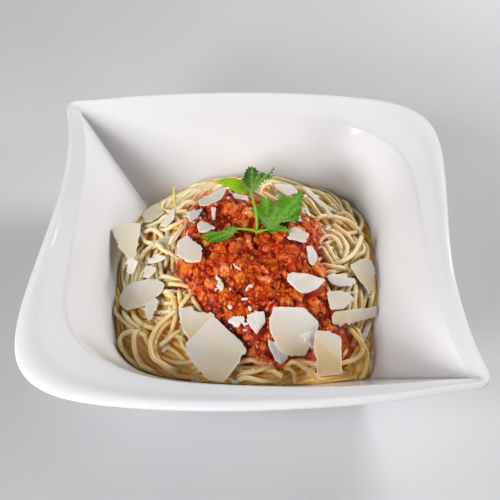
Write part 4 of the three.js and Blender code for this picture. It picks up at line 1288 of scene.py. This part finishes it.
# Cheese
def solid_outline(triangles):
    """The outline in plan of a flat solid, in order."""
    normals = np.cross(triangles[:, 1] - triangles[:, 0], triangles[:, 2] - triangles[:, 0])
    normals /= np.linalg.norm(normals, axis=1)[:, None] + 1e-12
    top = triangles[normals[:, 2] > 0.1]
    places, index = np.unique(np.round(top.reshape(-1, 3), 2), axis=0, return_inverse=True)
    faces = index.reshape(-1, 3)
    edges = {(a, b) for face in faces for a, b in zip(face, np.roll(face, -1))}
    following = {a: b for a, b in edges if (b, a) not in edges}
    line = [next(iter(following))]
    while following[line[-1]] != line[0]:
        line.append(following[line[-1]])
    return places[line][:, :2], places


def fitted_top(places):
    """A gently curved surface through the top points of a shaving, as a function of the place in plan."""
    middle = places[:, :2].mean(0)

    def terms(plan):
        dx, dy = (np.asarray(plan, float) - middle).T
        return np.stack([np.ones_like(dx), dx, dy, dx * dx + dy * dy], axis=1)

    weights, *_ = np.linalg.lstsq(terms(places[:, :2]), places[:, 2], rcond=None)
    return lambda plan: terms(plan) @ weights


def ragged_outline(line, amount, seed):
    """An outline with slightly cut corners and a crumbly edge."""
    for cut in CORNER_CUTS:
        following = np.roll(line, -1, axis=0)
        part = np.minimum(0.3, cut / (np.linalg.norm(following - line, axis=1) + 1e-9))[:, None]
        line = np.stack([(1 - part) * line + part * following, part * line + (1 - part) * following], axis=1)
        line = line.reshape(-1, 2)
    line = respaced(np.vstack([line, line[:1]]), 0.5)[:-1]
    crumbly = smoothstep(noise(line, 9, seed), 0.0, 0.6)
    broad = 0.7 * noise(line, 8, seed + 31)
    fine = (0.3 + 2.4 * crumbly) * layered_noise(line, 1.7, seed + 5, 2)
    return line + outward_of(line) * (amount * (broad + fine - 0.2 - 0.7 * crumbly))[:, None]


def make_shavings(material):
    """Every shaving in its solid's place, with a crumbly edge and the fine marks of the plane."""
    rng = np.random.default_rng(SEED + 21)
    parts, values = [], {"tone": [], "edge": [], "across": [], "cream_and_painted_light": []}
    names = sorted(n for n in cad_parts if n.startswith("cheese"))
    for index, name in enumerate(names):
        outline, places = solid_outline(node_triangles(name))
        height = fitted_top(places)
        large = np.ptp(outline, axis=0).max() > LARGE_SHAVING
        line = ragged_outline(outline, 0.5 if large else 0.9, 300 + 11 * index)
        plan, triangles = flat_mesh(line, 0.75 if large else 0.5, index)
        turn = rng.uniform(0, math.pi)
        across = plan @ (math.cos(turn), math.sin(turn)) + 0.5 * noise(plan, 8, index)
        relief = 0.3 * layered_noise(plan, 9, index) if large else 0.6 * layered_noise(plan, 2.2, index)
        rim = 1 - smoothstep(distance_to_line(plan, line), 0, RIM_WIDTH)
        crumble = layered_noise(plan, 1.1, 700 + index, 2)
        top = height(plan) + relief - rim * (0.3 + 0.3 * crumble)
        bottom = height(plan) - SHAVING_THICKNESS - 0.1 * layered_noise(plan, 4, index + 50) + rim * 0.3
        parts.append(slab(plan, triangles, top, np.minimum(bottom, top - 0.25)))
        tall = np.ptp(plan[:, 1])
        down = (plan[:, 1].max() - plan[:, 1]) / tall * smoothstep(tall, 4, 22)
        first, painted_shade_fall, cream_and_painted_light = SHAVING_TONES.get(index + 1, SHAVING_TONE)
        # pieces towards the right start darker: painted shade
        first -= 0.12 * smoothstep(plan.mean(0)[0], 38, 48)
        bands = 0.12 * noise(np.column_stack([across, 0 * across]), 3.5, index + 60)
        # the tone falls from the back edge to the front edge: painted shade
        tone = first - painted_shade_fall * down + rng.normal(0, 0.04) + 0.1 * noise(plan, 12, index) + bands
        edge = rim * (0.5 + 0.5 * crumble)
        # less cream towards the front edge; the cream is partly painted light
        creamy_and_painted_light = cream_and_painted_light * (1 - 0.5 * down)
        for kept, value in zip(values.values(), (tone, edge, across * STRIPES, creamy_and_painted_light)):
            kept.append(np.r_[value, value])
    points, triangles, _ = joined(parts)
    values = {key: np.concatenate(value) for key, value in values.items()}
    new_piece("cheese_shavings", points, triangles, material, names, values, sharp=50)


def chip(start, end, width, ground, seed):
    """A small ragged chip between two places on the ground, and how close its points are to its edge."""
    rng = np.random.default_rng(seed)
    start, ahead = np.array(start, float), np.subtract(end, start)
    side = np.array([-ahead[1], ahead[0]]) / np.hypot(*ahead) * width / 2
    outline = np.array([start + u * ahead + v * rng.uniform(0.7, 1.15) * side for u, v in CHIP_SHAPE])
    plan, triangles = flat_mesh(ragged_outline(outline, 0.35, seed), 0.55, seed)
    z = ground[cells_of(np.array([start, start + ahead]))]
    along = (plan - start) @ ahead / (ahead @ ahead)
    across = (plan - start) @ side / (side @ side)
    rim = 1 - smoothstep(distance_to_line(plan, outline), 0, RIM_WIDTH)
    middle = z[0] + (z[1] - z[0]) * along + rng.uniform(-0.3, 0.3) * across * width / 2
    top = middle + 0.75 + 0.25 * noise(plan, 1.6, seed) - 0.25 * rim
    bottom = middle - 0.15 + 0.2 * rim
    return *slab(plan, triangles, top, bottom), rim


def make_cheese_crumbs(heap, material):
    """Loose chips and crumbs of cheese between the shavings."""
    rng = np.random.default_rng(SEED + 25)
    ground = blurred(heap.surface, 3)
    parts, edges = [], []
    for index, (start, end, width) in enumerate(CHIPS):
        points, triangles, rim = chip(start, end, width, ground, 900 + index)
        parts.append((points, triangles))
        edges.append(np.r_[rim, rim])
    places, sizes = [], []
    for x, y, spread, count in CRUMB_SPOTS:
        for _ in range(count):
            place = np.array([x, y]) + rng.normal(0, spread, 2)
            cell = cells_of(place)
            if heap.room[cell] > 3:
                size = min(0.6 * math.exp(rng.normal(0, 0.5)), 1.9)
                places.append((*place, heap.surface[cell] + 0.35 * size))
                sizes.append(size)
    points, triangles, _ = lumps(places, sizes, 0.6, 0.85, SEED + 26)
    parts.append((points, triangles))
    edges.append(np.full(len(points), 0.6))
    points, triangles, numbers = joined(parts)
    plain = np.zeros(len(points))
    values = {
        "tone": rng.uniform(0.6, 1.0, len(parts))[numbers], "edge": np.concatenate(edges),
        "across": plain, "cream_and_painted_light": plain,
    }
    new_piece("cheese_crumbs", points, triangles, material, values=values, sharp=32)


# Parsley
def line_strength(plan, lines, width):
    """How close places lie to some lines, from 0 to 1."""
    strength = np.zeros(len(plan))
    for start, end in lines:
        start, step = np.asarray(start, float), np.subtract(end, start)
        t = np.clip(((plan - start) @ step) / (step @ step), 0, 1)
        away = np.hypot(*(plan - start - t[:, None] * step).T)
        strength = np.maximum(strength, np.exp(-(away / (width * (1.15 - 0.6 * t))) ** 2))
    return strength


def side_veins(base, tip):
    """Short veins that leave a main vein to both sides."""
    base, step = np.asarray(base, float), np.subtract(tip, base)
    length = np.hypot(*step)
    ahead = step / length
    side = np.array([-ahead[1], ahead[0]])
    veins = []
    for place in np.arange(0.3 * length, 0.92 * length, VEIN_SPACING):
        for sign in (-1, 1):
            start = base + ahead * place
            veins.append((start, start + (ahead + sign * side) * 0.2 * length * (1.2 - place / length)))
    return veins


def toothed_outline(leaf):
    step = 0.4
    line = respaced(np.array(leaf["outline"] + leaf["outline"][:1], float), step)[:-1]
    place = np.arange(len(line)) * step / leaf["tooth"]
    tooth = 0.5 * np.abs(np.sin(place * math.pi)) ** 0.6 + 0.5 * (1 - np.abs(2 * (place % 1) - 1)) - 0.55
    return line + outward_of(line) * (leaf["teeth"] * tooth)[:, None]


def make_leaves(material):
    """Thin blades with teeth and sunk veins, and their stalks."""
    parts, tones, veins = [], [], []
    for index, leaf in enumerate(LEAVES):
        plan, triangles = flat_mesh(toothed_outline(leaf), 0.6, index + 90)
        mains = [(leaf["base"], tip) for tip in leaf["tips"]]
        main = line_strength(plan, mains, 0.5)
        fine = line_strength(plan, [vein for ends in mains for vein in side_veins(*ends)], 0.28)
        (fx, fy, fz), (sx, sy) = leaf["foot"], leaf["slope"]
        x, y = plan.T
        wave = leaf["wave"] * np.sin(x / 2.6) * np.sin(y / 3.1)
        puckered = 0.35 * noise(plan, 2.6, index) * (1 - main)
        top = fz + sx * (x - fx) + sy * (y - fy) + wave + puckered - 0.3 * main - 0.12 * fine
        parts.append(slab(plan, triangles, top, top - LEAF_THICKNESS))
        tone = leaf["tone"] + 0.12 * noise(plan, 6, index + 9)
        near = line_strength(plan, mains, 2.6)
        mottle = leaf["mottle"] * near * np.clip(1.6 * noise(plan, 1.0, index + 31), 0, 0.7)
        vein = np.clip(main + 0.6 * fine + mottle, 0, 1)
        tones.append(np.r_[tone, tone])
        veins.append(np.r_[vein, vein])
    for stem in STEMS:
        path = through_points(stem, 1.0)
        radii = np.linspace(STEM_RADIUS, 0.75 * STEM_RADIUS, len(path))
        parts.append(tube(path, radii, STEM_SIDES))
        tones.append(np.full(len(parts[-1][0]), 0.85))
        veins.append(np.full(len(parts[-1][0]), 0.5))
    points, triangles, _ = joined(parts)
    values = {"tone": np.concatenate(tones), "vein": np.concatenate(veins)}
    new_piece("parsley", points, triangles, material, ["parsley_sprig"], values, sharp=60)


# Floor, light and camera
def make_floor(material):
    mesh = bpy.data.meshes.new("floor")
    corners = [(x * FLOOR_HALF, y * FLOOR_HALF, 0) for x, y in ((-1, -1), (1, -1), (1, 1), (-1, 1))]
    mesh.from_pydata(corners, [], [(0, 1, 2, 3)])
    mesh.materials.append(material)
    floor = bpy.data.objects.new("floor", mesh)
    bpy.context.scene.collection.objects.link(floor)


def placement(right, up, back, place):
    """A matrix from the directions to the right, up and back, and a place in metres."""
    matrix = np.eye(4)
    matrix[:3] = np.column_stack([right, up, back, place])
    return Matrix(matrix.tolist())


def add_lamp(name, azimuth, elevation, size, power, shine):
    """A square lamp over the table, either for soft light or only for the shine on glossy things."""
    light = bpy.data.lights.new(name, "AREA")
    light.size = size
    light.energy = power
    lamp = bpy.data.objects.new(name, light)
    lamp.visible_glossy, lamp.visible_diffuse = shine, not shine
    turn, rise = math.radians(azimuth), math.radians(elevation)
    direction = [math.cos(rise) * math.cos(turn), math.cos(rise) * math.sin(turn), math.sin(rise)]
    place = LAMP_DISTANCE * np.array(direction)
    back = place - LAMP_TARGET
    back /= np.linalg.norm(back)
    right = np.cross((0, 0, 1), back)
    right /= np.linalg.norm(right)
    lamp.matrix_world = placement(right, np.cross(back, right), back, place)
    bpy.context.scene.collection.objects.link(lamp)


def set_stage():
    world = bpy.data.worlds.new("studio")
    world.use_nodes = True
    background = world.node_tree.nodes["Background"]
    background.inputs["Color"].default_value = (1.0, 1.0, 1.0, 1)
    background.inputs["Strength"].default_value = WORLD_STRENGTH
    bpy.context.scene.world = world
    for name, settings in LAMPS.items():
        add_lamp(name, *settings)
    bpy.context.scene.view_settings.view_transform = "Standard"


def make_camera():
    data = bpy.data.cameras.new("camera")
    data.lens = CAMERA_LENS
    data.sensor_width = SENSOR_WIDTH
    data.clip_start, data.clip_end = 0.01, 20
    right = np.array([1.0, 0, 0])
    up = np.array([0, math.sin(CAMERA_DOWN), math.cos(CAMERA_DOWN)])
    back = (0, -math.cos(CAMERA_DOWN), math.sin(CAMERA_DOWN))
    rolled_right = math.cos(CAMERA_ROLL) * right + math.sin(CAMERA_ROLL) * up
    rolled_up = -math.sin(CAMERA_ROLL) * right + math.cos(CAMERA_ROLL) * up
    camera = bpy.data.objects.new("camera", data)
    camera.matrix_world = placement(rolled_right, rolled_up, back, np.array(CAMERA_PLACE) * MM)
    bpy.context.scene.collection.objects.link(camera)
    bpy.context.scene.camera = camera


pasta, sauce, cheese = pasta_material(), sauce_material(), cheese_material()
make_plate(porcelain_material())
heap = Heap(np.random.default_rng(SEED))
strands = laid_strands(heap)
make_core(pasta)
make_strands(heap, strands, pasta)
make_sauce(heap, sauce)
make_mince_crumbs(heap, sauce)
make_shavings(cheese)
make_cheese_crumbs(heap, cheese)
make_leaves(leaf_material())
make_floor(floor_material())
set_stage()
make_camera()
